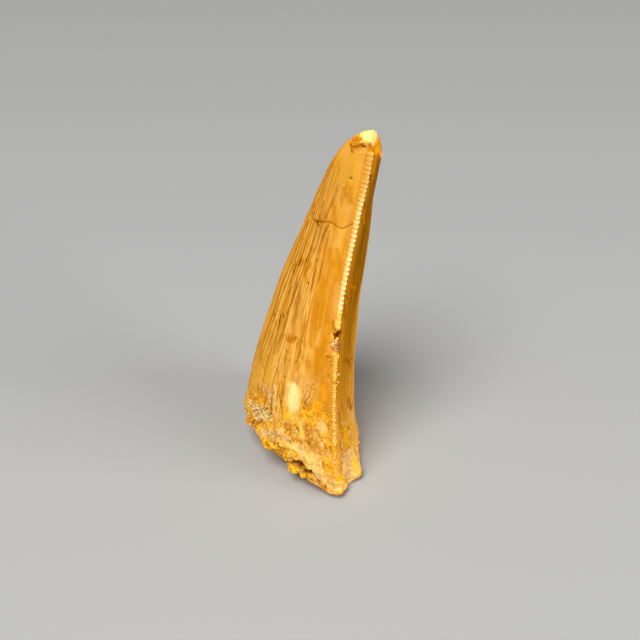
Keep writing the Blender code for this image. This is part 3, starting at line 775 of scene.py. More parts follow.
def worked(item, tree, sizes):
    """Runs the tree on the piece with these sizes and keeps what it makes as the piece's plain mesh."""
    modifier = item.modifiers.new(tree.name, "NODES")
    modifier.node_group = tree
    for socket in tree.interface.items_tree:
        if socket.in_out == "INPUT" and socket.name in sizes:
            modifier[socket.identifier] = sizes[socket.name]
    graph = bpy.context.evaluated_depsgraph_get()
    made = item.evaluated_get(graph)
    data = bpy.data.meshes.new_from_object(made, preserve_all_data_layers=True, depsgraph=graph)
    item.modifiers.remove(modifier)
    item.data = data
    data.name = item.name


def stay_in_box(item):
    """Keeps every point of a piece inside the solid's own box."""
    low, high = (np.array(corner) for corner in cad_box)
    item.data.vertices.foreach_set("co", np.clip(points_of(item), low, high).ravel())
    item.data.update()


def attribute(tree, name, kind="FLOAT"):
    """A field kept at the points, in a Geometry Nodes tree."""
    return add_node(tree, "GeometryNodeInputNamedAttribute", {"Name": name}, data_type=kind).outputs[0]


def position_mm(tree):
    return scaled(tree, add_node(tree, "GeometryNodeInputPosition").outputs[0], 1 / MM)


def moved_by(tree, geometry, offset):
    return add_node(tree, "GeometryNodeSetPosition", {"Geometry": geometry, "Offset": offset}).outputs[0]


def raised(tree, geometry, millimetres):
    """Moves every point along its normal."""
    normal = add_node(tree, "GeometryNodeInputNormal").outputs[0]
    return moved_by(tree, geometry, scaled(tree, normal, calc(tree, "MULTIPLY", millimetres, MM)))


RELIEF = {
    "Flute depth": 0.08,
    "Flute spacing": 0.8,
    "Furrow depth": 0.02,
    "Furrow spacing": 0.5,
    "Swell": 0.22,
    "Wrinkle depth": 0.01,
    "Wrinkle pitch": 0.42,
    "Crack depth": 0.1,
    "Crumble": 0.55,
    "Spall roughness": 0.14,
}
LINE_WAVER = 2.2
FLUTE_SEED = 3.1
FURROW_SEED = 8.4
enamel = bpy.data.materials.new("amber_enamel")
relief, size = new_tree("crown_relief", RELIEF)
place = position_mm(relief)
lines = attribute(relief, "grain", "FLOAT_VECTOR")
height = along_axes(relief, lines)[2]
girth = attribute(relief, "girth")
from_saw = attribute(relief, "from_saw")
above_rim = attribute(relief, "above_rim")
flank = product(
    relief, ramp(relief, from_saw, 1.3, 3.6, 0.15, 1.0), ramp(relief, above_rim, 3.0, 8.0),
    ramp(relief, height, 40.0, 36.0, 0.2, 1.0),
)
broad, broad_strength = striae(relief, girth, lines, size["Flute spacing"], LINE_WAVER, FLUTE_SEED)
flutes = product(
    relief, ramp(relief, broad, 0.0, 0.4, -1.0, 0.0), size["Flute depth"], broad_strength, flank,
    ramp(relief, attribute(relief, "clear"), 0.8, 1.8, 0.3, 1.0),
)
narrow, narrow_strength = striae(relief, girth, lines, size["Furrow spacing"], LINE_WAVER, FURROW_SEED)
furrows = product(
    relief, ramp(relief, narrow, 0.0, 0.45, -1.0, 0.0), ramp(relief, narrow_strength, 0.42, 0.62),
    size["Furrow depth"], flank,
)
swell = calc(relief, "SUBTRACT", noise_field(relief, place, 3.6, 1.7), 0.5)
swell = product(relief, swell, size["Swell"], ramp(relief, height, 40.5, 38.0))
turn = calc(relief, "MULTIPLY", calc(relief, "DIVIDE", height, size["Wrinkle pitch"]), 2 * math.pi)
wrinkles = product(
    relief, calc(relief, "SINE", turn), size["Wrinkle depth"],
    ramp(relief, from_saw, 0.2, 0.45), ramp(relief, from_saw, 1.3, 0.5),
    ramp(relief, noise_field(relief, place, 2.0, 4.0), 0.42, 0.6),
)
crack_gap = calc(relief, "ABSOLUTE", attribute(relief, "crack"))
groove = product(
    relief, ramp(relief, crack_gap, 0.0, 0.18, -1.0, 0.0), size["Crack depth"],
    ramp(relief, from_saw, 9.0, 6.0, 0.3, 1.0),
)
crumbling = ramp(relief, attribute(relief, "crumbly"), 0.05, 0.6)
crumbling = calc(relief, "MAXIMUM", crumbling, ramp(relief, above_rim, 2.6, 0.6, 0.0, 0.5))
crumbs = calc(relief, "SUBTRACT", noise_field(relief, place, 0.75, 6.2, 5.0, 0.62), 0.52)
crumbs = product(relief, crumbs, size["Crumble"], crumbling)
cut = along_axes(relief, attribute(relief, "spalled", "FLOAT_VECTOR"))
broken = calc(relief, "MAXIMUM", calc(relief, "MAXIMUM", cut[0], cut[1]), cut[2])
spall = calc(relief, "SUBTRACT", noise_field(relief, place, 0.6, 2.9, 4.0, 0.6), 0.62)
spall = product(relief, spall, size["Spall roughness"], ramp(relief, broken, 0.0, 0.08))
total = flutes
for layer in (furrows, swell, wrinkles, groove, crumbs, spall):
    total = calc(relief, "ADD", total, layer)
end_tree(relief, raised(relief, size["Geometry"], total), enamel)
worked(crown_piece, relief, RELIEF)
stay_in_box(crown_piece)


# ---- Crown: its finish ------------------------------------------------------------------------------
# Fossil enamel: amber, streaked from base to tip in lighter and golden bands, with brown hairlines where it
# is furrowed, stains, and tan and cream patches where sediment clings to the base.
def colour(red, green, blue):
    """A colour given by its screen values, from 0 to 255."""
    shares = (value / 255 for value in (red, green, blue))
    return [s / 12.92 if s <= 0.04045 else ((s + 0.055) / 1.055) ** 2.4 for s in shares] + [1.0]


def blend(tree, amount, first, second):
    """Lays the second colour over the first by this amount."""
    inputs = {0: amount, 6: first, 7: second}
    return add_node(tree, "ShaderNodeMix", inputs, data_type="RGBA").outputs[2]


def kept(tree, name, output="Fac"):
    """A field kept at the points, in a finish."""
    return add_node(tree, "ShaderNodeAttribute", attribute_name=name).outputs[output]


def object_mm(tree):
    return scaled(tree, add_node(tree, "ShaderNodeTexCoord").outputs["Object"], 1 / MM)


def open_finish(material):
    """The nodes of a finish, its shader and the place on the piece in millimetres."""
    material.use_nodes = True
    tree = material.node_tree
    return tree, tree.nodes["Principled BSDF"], object_mm(tree)


def bumpy(tree, shader, height, strength, depth):
    """Ends a finish with the bumps of this height field. The depth is in millimetres."""
    inputs = {"Strength": strength, "Distance": depth * MM, "Height": height}
    tree.links.new(add_node(tree, "ShaderNodeBump", inputs).outputs[0], shader.inputs["Normal"])


def stained(tree, name, broken, ragged, soft=0.4):
    """1 inside the strokes of this name. The noise breaks their edges up by this much."""
    field = calc(tree, "ADD", kept(tree, name), calc(tree, "MULTIPLY", broken, ragged))
    return ramp(tree, field, 1 + soft, 1 - soft)


def speckled(tree, place, size, seed, first, second, low=0.44, high=0.58, detail=4.0, roughness=0.7):
    """One colour speckled with another, in specks of this size."""
    specks = noise_field(tree, place, size, seed, detail, roughness)
    return blend(tree, ramp(tree, specks, low, high), first, second)


def layered(tree, shade, *layers):
    """Lays paints over a shade in this order, each by the product of its amounts."""
    for paint, *amounts in layers:
        shade = blend(tree, product(tree, *amounts), shade, paint)
    return shade


AMBER = colour(226, 154, 38)
LIGHT_AMBER = colour(252, 190, 86)
HONEY = colour(242, 174, 66)
GOLDEN = colour(208, 130, 2)
FURROW = colour(190, 110, 8)
BROWN = colour(150, 84, 2)
DEEP_BROWN = colour(104, 54, 2)
OLIVE = colour(118, 72, 2)
STRIP_BROWN = colour(164, 104, 10)
STRIP_AMBER = colour(202, 132, 20)
CREAM = colour(255, 230, 146)
PALE = colour(252, 206, 84)
CHALK = colour(236, 188, 122)
RUST = colour(200, 112, 2)
UMBER = colour(166, 98, 4)
ORANGE = colour(240, 150, 10)
YELLOW = colour(252, 186, 8)
TAN = colour(242, 182, 84)
BONE = colour(247, 202, 112)
SAND = colour(205, 172, 104)
PALE_BREAK = colour(255, 232, 124)


def painted_hollow_shade(tree, shade, hollow):
    """Paints shade into what was scooped out, darker the deeper it is."""
    slightly, deeply = ramp(tree, hollow, 0.03, 0.2, 0.0, 0.8), ramp(tree, hollow, 0.15, 0.6, 0.0, 0.75)
    return layered(tree, shade, (UMBER, slightly), (DEEP_BROWN, deeply))


tree, shader, place = open_finish(enamel)
lines = kept(tree, "grain", "Vector")
height = along_axes(tree, lines)[2]
from_saw = kept(tree, "from_saw")
girth = kept(tree, "girth")

# The flank begins a little way from the saw edge, and its lines stand wider apart where the convex face bows.
flank = product(tree, ramp(tree, from_saw, 0.7, 2.2), ramp(tree, height, 28.0, 21.0), 0.65)
flank = calc(tree, "MAXIMUM", ramp(tree, from_saw, 1.5, 3.8), flank)
bowed = product(tree, ramp(tree, girth, 7.5, 11.0), ramp(tree, kept(tree, "lingual"), 0.1, -0.1))
coarser = ramp(tree, bowed, 0.0, 1.0, 1.0, 0.15)

# The ground: amber and honey, streaked with the grain and mottled. Near the saw edge it has painted light
# high up and golden painted shade lower down, and the furrows are golden with painted shade.
wide = noise_field(tree, lines, (1.3, 1.3, 14.0), 1.3, 2.0)
fine = noise_field(tree, lines, (0.42, 0.42, 7.0), 5.1, 2.5)
finest = noise_field(tree, lines, (0.17, 0.17, 4.0), 7.7, 2.0)
mottle = noise_field(tree, place, 1.5, 9.2, 5.0, 0.6)
cloud = ramp(tree, noise_field(tree, lines, (1.6, 1.6, 3.2), 18.0, 3.0, 0.55), 0.46, 0.62, 0.0, 0.42)
gap, strength = striae(tree, girth, lines, RELIEF["Furrow spacing"], LINE_WAVER, FURROW_SEED)
broad_gap, broad_strength = striae(tree, girth, lines, RELIEF["Flute spacing"], LINE_WAVER, FLUTE_SEED)
furrowed = product(tree, ramp(tree, broad_gap, 0.42, 0.0), ramp(tree, broad_strength, 0.35, 0.6))
shade = layered(
    tree, blend(tree, flank, AMBER, HONEY),
    (GOLDEN, ramp(tree, wide, 0.42, 0.64, 0.0, 0.7)),
    (LIGHT_AMBER, ramp(tree, fine, 0.44, 0.6), ramp(tree, flank, 0.0, 1.0, 0.3, 0.9), coarser),
    (GOLDEN, ramp(tree, mottle, 0.5, 0.72, 0.0, 0.75)),
    # Painted light: lighter high up near the saw edge. Painted shade: more golden lower down near it.
    (colour(248, 182, 58), ramp(tree, height, 31.0, 34.0), ramp(tree, flank, 1.0, 0.5), 0.4),
    (GOLDEN, ramp(tree, height, 31.0, 27.0), ramp(tree, flank, 1.0, 0.3), 0.42),
    (colour(236, 170, 86), cloud, ramp(tree, flank, 1.0, 0.0)),
    # Painted shade: golden in the grooves of the broad and the narrow furrows.
    (FURROW, furrowed, ramp(tree, flank, 0.0, 1.0, 0.05, 0.4)),
    (FURROW, ramp(tree, gap, 0.36, 0.0), ramp(tree, strength, 0.36, 0.6), flank, coarser, 0.45),
)

# Brown hairlines run in the furrows, in the flutes and, wider apart, where the face bows. They are fewer low
# down. The ones laid line by line join them.
hairline = product(tree, ramp(tree, gap, 0.17, 0.02), ramp(tree, strength, 0.42, 0.58), coarser)
broad_line = product(tree, ramp(tree, broad_gap, 0.12, 0.02), ramp(tree, broad_strength, 0.42, 0.56))
hairline = calc(tree, "MAXIMUM", hairline, broad_line)
bowed_gap, bowed_strength = striae(tree, girth, lines, 1.0, 2.0, 14.6)
bowed_line = product(tree, ramp(tree, bowed_gap, 0.2, 0.03), ramp(tree, bowed_strength, 0.36, 0.56), bowed)
hairline = calc(tree, "MAXIMUM", product(tree, hairline, ramp(tree, bowed, 0.0, 1.0, 1.0, 0.45)), bowed_line)
few_by_saw = ramp(tree, from_saw, 4.5, 7.0, 0.0, 0.85)
fewer = calc(tree, "MAXIMUM", ramp(tree, height, 14.0, 24.0, 0.3, 1.0), few_by_saw)
upper = ramp(tree, height, 9.0, 15.0)
hairline = product(tree, hairline, flank, ramp(tree, upper, 0.0, 1.0, 0.3, 1.0), fewer)
sides = along_axes(tree, kept(tree, "hair_side", "Vector"))
nears = along_axes(tree, kept(tree, "hair_near", "Vector"))
chosen_line, chosen_edge = 0.0, 0.0
for side, near in zip(sides, nears):
    side, close = calc(tree, "ABSOLUTE", side), ramp(tree, near, 0.36, 0.2)
    chosen_line = calc(tree, "MAXIMUM", product(tree, ramp(tree, side, 1.6, 0.2), close), chosen_line)
    chosen_edge = calc(tree, "MAXIMUM", product(tree, ramp(tree, side, 3.6, 0.8), close), chosen_edge)
worn_line = ramp(tree, noise_field(tree, place, 0.9, 12.0, 3.0), 0.32, 0.58, 0.35, 1.0)
worn_line = product(tree, worn_line, ramp(tree, from_saw, 1.4, 3.2, 0.35, 1.0))
chosen_line = product(tree, chosen_line, worn_line)
hairline = calc(tree, "MAXIMUM", product(tree, hairline, 0.92), chosen_line)
shade = layered(
    tree, shade,
    (FURROW, chosen_edge, worn_line, 0.5),
    (BROWN, hairline, 0.9),
    (GOLDEN, ramp(tree, finest, 0.5, 0.3, 0.0, 0.25), flank, coarser),
    (LIGHT_AMBER, ramp(tree, bowed_gap, 0.3, 0.46), ramp(tree, bowed_strength, 0.3, 0.5), bowed, 0.45),
)

# Low down the enamel is patchy.
lowdown = ramp(tree, height, 17.0, 9.0)
patches = noise_field(tree, lines, (0.7, 0.7, 1.5), 21.0, 7.0, 0.75)
shade = layered(
    tree, shade,
    (TAN, ramp(tree, patches, 0.48, 0.6), lowdown, 0.8),
    (GOLDEN, ramp(tree, patches, 0.46, 0.34), lowdown, 0.8),
    (RUST, ramp(tree, patches, 0.38, 0.3), lowdown, 0.5),
)

# Noise that breaks up the edges of the stains: in grains, along the grain of the tooth, or both.
coarse = calc(tree, "SUBTRACT", noise_field(tree, place, 0.9, 40.0, 3.0, 0.6), 0.5)
grainy = calc(tree, "SUBTRACT", noise_field(tree, place, 0.24, 44.0, 4.0, 0.7), 0.5)
grainy = calc(tree, "ADD", product(tree, coarse, 0.6), product(tree, grainy, 0.7))
streaky = calc(tree, "SUBTRACT", noise_field(tree, lines, (0.25, 0.25, 1.8), 41.0, 4.0, 0.65), 0.5)
broken = calc(tree, "ADD", product(tree, grainy, 0.6), streaky)

# A coat of sediment over the base, thick where it is crumbly, and specks of it above.
coat = ramp(tree, kept(tree, "crumbly"), 0.1, 0.6)
coat_shade = speckled(tree, place, 0.7, 31.0, YELLOW, TAN, 0.42, 0.6, 5.0)
rusty = ramp(tree, noise_field(tree, place, 0.4, 33.0, 4.0, 0.7), 0.5, 0.68, 0.0, 0.9)
shade = layered(tree, shade, (layered(tree, coat_shade, (RUST, rusty)), coat, 0.85))
mottled = product(tree, ramp(tree, height, 11.0, 8.0), ramp(tree, kept(tree, "lingual"), 0.9, 0.3))
for size, seed, share, paint in ((0.5, 37.0, 0.6, YELLOW), (0.4, 38.0, 0.65, RUST), (0.3, 39.0, 0.5, CREAM)):
    specks = ramp(tree, noise_field(tree, place, size, seed, 5.0, 0.75), 0.52, 0.62)
    shade = layered(tree, shade, (paint, specks, mottled, share))

# The stains laid stroke by stroke. Each kind has its own noise, raggedness, softness, strength and paint.
yellows = speckled(tree, place, 0.34, 45.0, YELLOW, colour(206, 122, 6), 0.48, 0.6)
umbers = speckled(tree, place, 0.28, 48.0, colour(252, 196, 74), UMBER)
rusts = speckled(tree, place, 0.3, 47.0, colour(190, 102, 4), umbers, 0.46, 0.56)
bones = speckled(tree, place, 0.4, 49.0, BONE, colour(220, 164, 84), 0.48, 0.62)
chalks = speckled(tree, place, 0.28, 52.0, colour(237, 190, 122), colour(194, 140, 80))
clears = speckled(tree, lines, (0.4, 0.4, 4.0), 54.0, HONEY, colour(248, 186, 84), 0.4, 0.6)
tans = speckled(tree, lines, (0.3, 0.3, 2.2), 53.0, colour(236, 174, 84), colour(224, 152, 66))
for name, noise_kind, ragged, soft, strong, paint in (
    ("clear", streaky, 3.0, 1.0, 0.72, clears),
    ("gold", broken, 4.0, 1.0, 0.8, GOLDEN),
    ("tan", broken, 4.0, 1.0, 0.9, tans),
    ("bone", grainy, 4.5, 0.5, 0.9, bones),
    ("chalk", grainy, 5.0, 0.4, 0.9, chalks),
    ("rust", broken, 6.5, 0.4, 0.9, rusts),
    ("yellow", grainy, 6.0, 0.4, 0.85, yellows),
    ("orange", broken, 4.0, 0.7, 0.9, ORANGE),
    ("pale", broken, 3.5, 0.9, 0.9, PALE),
    ("cream", streaky, 1.1, 0.6, 1.0, CREAM),
):
    shade = layered(tree, shade, (paint, stained(tree, name, noise_kind, ragged, soft), strong))

# A speckled band above the rim, and the sandy patch.
low_band = ramp(tree, kept(tree, "above_rim"), 6.5, 3.5)
low_band = product(tree, low_band, ramp(tree, kept(tree, "cream"), 0.8, 1.6))
specks = noise_field(tree, place, 0.24, 34.0, 3.0, 0.6)
where_specks = ramp(tree, noise_field(tree, place, 1.3, 35.0, 3.0), 0.45, 0.6)
speckle = ramp(tree, noise_field(tree, place, 0.2, 46.0, 2.0), 0.38, 0.62)
sandy = blend(tree, speckle, colour(124, 76, 14), colour(252, 226, 150))
shade = layered(
    tree, shade,
    (RUST, ramp(tree, specks, 0.56, 0.68), low_band, where_specks, 0.7),
    (PALE, ramp(tree, specks, 0.42, 0.32), low_band, where_specks, 0.7),
    (sandy, stained(tree, "sand", grainy, 2.2)),
)

# The crack that runs round the crown is darkened golden and brown along its line.
wander = calc(tree, "SUBTRACT", noise_field(tree, place, 0.9, 50.0, 3.0), 0.5)
crack_gap = calc(tree, "ADD", kept(tree, "crack"), calc(tree, "MULTIPLY", wander, 0.7))
crack_gap = calc(tree, "ABSOLUTE", crack_gap)
crack_show = product(
    tree, ramp(tree, noise_field(tree, place, 1.2, 51.0), 0.35, 0.55, 0.35, 1.0),
    ramp(tree, from_saw, 2.0, 3.8, 0.35, 1.0), ramp(tree, from_saw, 5.2, 4.3, 0.0, 1.0),
)
shade = layered(
    tree, shade,
    (GOLDEN, ramp(tree, crack_gap, 0.42, 0.05), crack_show, 0.7),
    (BROWN, ramp(tree, crack_gap, 0.2, 0.03), crack_show, 0.9),
)

# The flat strip beside the saw edge is darker, olive to brown: partly its own colour and partly painted
# shade, deepest high up, where it faces away from the light. It is amber at its edge and low down.
strip = product(tree, ramp(tree, kept(tree, "lingual"), 0.0, 0.5), ramp(tree, from_saw, 6.0, 3.0))
strip_dark = product(
    tree, ramp(tree, from_saw, 0.9, 1.5), ramp(tree, from_saw, 2.6, 1.6), ramp(tree, wide, 0.35, 0.6)
)
strip_shade = layered(
    tree, blend(tree, ramp(tree, fine, 0.36, 0.62), OLIVE, STRIP_BROWN),
    (STRIP_AMBER, ramp(tree, height, 27.0, 12.0, 0.0, 0.8)),
    (STRIP_AMBER, ramp(tree, from_saw, 1.7, 0.4, 0.0, 0.95)),
    (colour(206, 132, 16), ramp(tree, height, 34.0, 37.0), ramp(tree, from_saw, 2.4, 1.0)),
    (DEEP_BROWN, strip_dark, ramp(tree, height, 14.0, 22.0), 0.6),
    (OLIVE, ramp(tree, gap, 0.3, 0.05), 0.6),
)
shade = layered(tree, shade, (strip_shade, strip, ramp(tree, height, 3.0, 18.0, 0.0, 0.95)))

# The broken faces of the spalled tip.
cut = along_axes(tree, kept(tree, "spalled", "Vector"))
chips = calc(tree, "SUBTRACT", noise_field(tree, place, 0.5, 55.0, 4.0), 0.5)
topmost = ramp(tree, calc(tree, "ADD", height, product(tree, chips, 2.0)), 40.4, 40.8)
facet = blend(tree, ramp(tree, chips, -0.1, 0.1), colour(232, 142, 12), colour(246, 170, 26))
facet = layered(tree, facet, (colour(255, 238, 160), topmost))
for depth, paint in ((cut[2], RUST), (cut[1], facet), (cut[0], PALE_BREAK)):
    edge = calc(tree, "ADD", depth, calc(tree, "MULTIPLY", chips, 0.14))
    shade = layered(tree, shade, (paint, ramp(tree, edge, 0.045, 0.08)))

# Deep stains, partly painted shade where umber and dark strokes lie in crevices, painted shade in the
# hollows, and grime low down.
for name, ragged, strong, paint in (
    ("umber", 4.0, 0.85, colour(156, 90, 4)),
    ("dark", 2.6, 0.85, DEEP_BROWN),
    ("break", 1.6, 1.0, PALE_BREAK),
    ("burnt", 2.0, 0.9, colour(196, 114, 0)),
):
    shade = layered(tree, shade, (paint, stained(tree, name, grainy, ragged, 0.5), strong))
# Painted shade in the hollows, darker the deeper they are.
shade = painted_hollow_shade(tree, shade, calc(tree, "ADD", kept(tree, "scooped"), product(tree, grainy, 0.5)))
grime = noise_field(tree, place, 0.22, 62.0, 3.0, 0.65)
off_bone = ramp(tree, kept(tree, "bone"), 0.6, 1.6, 0.12, 1.0)
grimy = product(tree, lowdown, ramp(tree, height, 4.0, 8.0, 1.0, 0.5), off_bone)
shade = layered(
    tree, shade,
    (UMBER, ramp(tree, grime, 0.46, 0.36), grimy, 0.6),
    (CREAM, ramp(tree, grime, 0.56, 0.66), grimy, 0.55),
)
tree.links.new(shade, shader.inputs["Base Color"])

# Polished enamel shines a little on the convex face near the saw edge. The sediment is dull and gritty.
rough = calc(tree, "MAXIMUM", ramp(tree, fine, 0.3, 0.7, 0.36, 0.5), product(tree, coat, 0.85))
tree.links.new(rough, shader.inputs["Roughness"])
sheen = product(
    tree, ramp(tree, kept(tree, "lingual"), 0.2, -0.2), ramp(tree, girth, 10.0, 7.0),
    ramp(tree, coat, 1.0, 0.0), ramp(tree, fine, 0.3, 0.7, 0.02, 0.08),
)
tree.links.new(sheen, shader.inputs["Specular IOR Level"])
ridges = calc(tree, "ADD", product(tree, fine, 0.5), product(tree, finest, 0.35))
ridges = product(tree, calc(tree, "SUBTRACT", ridges, product(tree, hairline, 0.5)), flank)
grit = product(tree, noise_field(tree, place, 0.22, 60.0, 4.0, 0.7), ramp(tree, coat, 0.0, 1.0, 0.06, 1.5))
bumpy(tree, shader, calc(tree, "ADD", ridges, grit), 1.0, 0.07)

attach(crown_piece, "root")
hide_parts("tooth")


# ---- Saw edges --------------------------------------------------------------------------------------
# Each edge of the blade carries a row of chisel-like denticles of paler enamel, parted by narrow gaps with
# painted shade.
# Towards the base they are finer, worn to beads, and a few are lost. A row has a name, its edge, the way it
# faces, the heights it runs between, its pitch and its share of the full size.
SAW_ROWS = (
    ("distal_saw_upper", distal_y, -1, 20.95, 39.6, 0.5, 1.0),
    ("distal_saw_lower", distal_y, -1, 7.3, 18.3, 0.34, 0.66),
    ("mesial_saw_upper", mesial_y, 1, 17.6, 38.2, 0.515, 1.0),
    ("mesial_saw_lower", mesial_y, 1, 7.3, 17.4, 0.38, 0.64),
)
DENTICLE_SIZES = {
    "Pitch": 0.5,
    "Half width": 0.33,
    "Half length": 0.24,
    "Half height": 0.16,
    "Unevenness": 0.12,
    "Squareness": 0.78,
    "Slant": -0.38,
    "Keel": 0.13,
    "Lost": 0.0,
    "Wear": 0.0,
}
LENGTHS_VARY = (0.95, 1.03)
KEEL_FLATNESS = (1.0, 1.9, 1.0)
DENTICLE_SEGMENTS = 12
DENTICLE_RINGS = 8
KEEL_SEGMENTS = 14
KEEL_STEP = 0.12 * MM
# The keel takes its colour as if it were this part of a denticle.
KEEL_WAY = (0.0, 1.0, 0.8)


def chance(tree, seed, low=0.0, high=1.0):
    """A random number between these two for every point or instance."""
    inputs = {2: low, 3: high, "Seed": seed}
    return add_node(tree, "FunctionNodeRandomValue", inputs, data_type="FLOAT").outputs[1]


def chance_way(tree, seed, low, high):
    """Three random numbers between these two sets of three, for every point or instance."""
    inputs = {0: low, 1: high, "Seed": seed}
    return add_node(tree, "FunctionNodeRandomValue", inputs, data_type="FLOAT_VECTOR").outputs[0]


def stored(tree, geometry, name, value, kind="FLOAT", domain="POINT"):
    """Keeps a value at every point or instance, for the finish to read."""
    inputs = {"Geometry": geometry, "Name": name, "Value": value}
    return add_node(tree, "GeometryNodeStoreNamedAttribute", inputs, data_type=kind, domain=domain).outputs[0]


def spaced(tree, curve, step):
    """The curve in steps of this length."""
    inputs = {"Curve": curve, "Length": step}
    return add_node(tree, "GeometryNodeResampleCurve", inputs, mode="LENGTH").outputs[0]


def placed_on(tree, points, item, rotation, scale, chosen=None):
    """One copy of the item on every chosen point."""
    inputs = {"Points": points, "Selection": chosen, "Instance": item, "Rotation": rotation, "Scale": scale}
    return add_node(tree, "GeometryNodeInstanceOnPoints", inputs).outputs[0]


def joined(tree, first, second):
    both = add_node(tree, "GeometryNodeJoinGeometry", {0: first})
    tree.links.new(second, both.inputs[0])
    return both.outputs[0]


denticle_enamel = bpy.data.materials.new("pale_denticles")
rows, size = new_tree("saw_row", DENTICLE_SIZES)
lengths = ("Pitch", "Half width", "Half length", "Half height", "Keel")
metres = {name: calc(rows, "MULTIPLY", size[name], MM) for name in lengths}
curve = add_node(rows, "GeometryNodeMeshToCurve", {0: size["Geometry"]}).outputs[0]
dots = spaced(rows, curve, metres["Pitch"])
tangent = add_node(rows, "GeometryNodeInputTangent").outputs[0]
turned = add_node(rows, "FunctionNodeAlignRotationToVector", {"Vector": tangent}, axis="Z").outputs[0]
outward = attribute(rows, "outward", "FLOAT_VECTOR")
turned = add_node(
    rows, "FunctionNodeAlignRotationToVector", {"Rotation": turned, "Vector": outward},
    axis="Y", pivot_axis="Z",
).outputs[0]

# A denticle is a ball pressed square, stretched to its three half sizes and slanted towards the tip.
ball = add_node(
    rows, "GeometryNodeMeshUVSphere", {"Segments": DENTICLE_SEGMENTS, "Rings": DENTICLE_RINGS, "Radius": 1.0}
).outputs[0]
way = add_node(rows, "GeometryNodeInputPosition").outputs[0]
square = from_axes(rows, size["Squareness"], size["Squareness"], 1.0)
bulk = calc_way(rows, "POWER", calc_way(rows, "ABSOLUTE", way), square)
bulk = calc_way(rows, "MULTIPLY", bulk, calc_way(rows, "SIGN", way))
half = from_axes(rows, metres["Half width"], metres["Half height"], metres["Half length"])
bulk = calc_way(rows, "MULTIPLY", bulk, half)
bulk = add_node(
    rows, "ShaderNodeVectorRotate", {"Vector": bulk, "Angle": size["Slant"]}, rotation_type="Y_AXIS"
).outputs[0]
marked = stored(rows, ball, "way", way, "FLOAT_VECTOR")
denticle = add_node(rows, "GeometryNodeSetPosition", {"Geometry": marked, "Position": bulk}).outputs[0]

# They vary in size, and some are lost.
small = calc(rows, "SUBTRACT", 1.0, size["Unevenness"])
large = calc(rows, "ADD", 1.0, size["Unevenness"])
shortest, longest = LENGTHS_VARY
smallest, largest = from_axes(rows, small, small, shortest), from_axes(rows, large, large, longest)
varied = chance_way(rows, 5, smallest, largest)
remaining = calc(rows, "GREATER_THAN", chance(rows, 7), size["Lost"])
placed = placed_on(rows, dots, denticle, turned, varied, remaining)
placed = stored(rows, placed, "tone", chance(rows, 9), domain="INSTANCE")

# A keel runs along the edge under them.
line = spaced(rows, curve, KEEL_STEP)
line = add_node(
    rows, "GeometryNodeSetCurveNormal", {"Curve": line, "Normal": outward}, mode="FREE"
).outputs[0]
round_line = add_node(
    rows, "GeometryNodeCurvePrimitiveCircle", {"Resolution": KEEL_SEGMENTS, "Radius": metres["Keel"]}
).outputs[0]
oval_line = add_node(
    rows, "GeometryNodeTransform", {"Geometry": round_line, "Scale": KEEL_FLATNESS}
).outputs[0]
keel = add_node(
    rows, "GeometryNodeCurveToMesh", {"Curve": line, "Profile Curve": oval_line, "Fill Caps": True}
).outputs[0]
uneven = calc(rows, "SUBTRACT", noise_field(rows, position_mm(rows), 0.45, 5.0, 3.0), 0.5)
up = along_axes(rows, position_mm(rows))[2]
thicker = calc(rows, "ADD", calc(rows, "MULTIPLY", uneven, 1.2), ramp(rows, up, 34.5, 37.0, 0.0, 0.1))
keel = raised(rows, keel, product(rows, thicker, size["Keel"]))
keel = stored(rows, keel, "way", KEEL_WAY, "FLOAT_VECTOR")
row = stored(rows, joined(rows, placed, keel), "wear", size["Wear"])
end_tree(rows, add_node(rows, "GeometryNodeSetShadeSmooth", {"Geometry": row}).outputs[0], denticle_enamel)

# The rows follow the edges of the blade, and towards the tip they are set a little to the concave side.
EDGE_STEPS = 200
OFF_EDGE = 0.02
SAW_SET = 0.13
SAW_SET_FROM = 33.0
SAW_SET_OVER = 4.0
WORN_ROW = {"Unevenness": 0.34, "Lost": 0.14, "Wear": 1.0, "Keel": 0.085}
for name, edge_y, outward_y, low, high, pitch, share in SAW_ROWS:
    level = np.linspace(low, high, EDGE_STEPS) / HEIGHT
    edge = np.stack([eased(level, SWAY_STATIONS, SWAY), edge_y(level), level * HEIGHT], axis=-1)
    tangents = unit(np.gradient(edge, axis=0))
    out = np.zeros_like(edge)
    out[:, 1] = outward_y
    out = unit(out - (out * tangents).sum(axis=1, keepdims=True) * tangents)
    links = [(k, k + 1) for k in range(EDGE_STEPS - 1)]
    edge[:, 0] += SAW_SET * np.clip((edge[:, 2] - SAW_SET_FROM) / SAW_SET_OVER, 0, 1)
    row = mesh_object(name, (edge + out * OFF_EDGE) * MM, [], links)
    give(row, "outward", out)
    sizes = dict(DENTICLE_SIZES)
    sizes["Pitch"] = pitch
    sizes["Half length"] = DENTICLE_SIZES["Half length"] * pitch / DENTICLE_SIZES["Pitch"]
    for side in ("Half width", "Half height"):
        sizes[side] = DENTICLE_SIZES[side] * share
    if share < 1:
        sizes.update(WORN_ROW)
    worked(row, rows, sizes)
    stay_in_box(row)
    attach(row, "root")
    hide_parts("tooth")
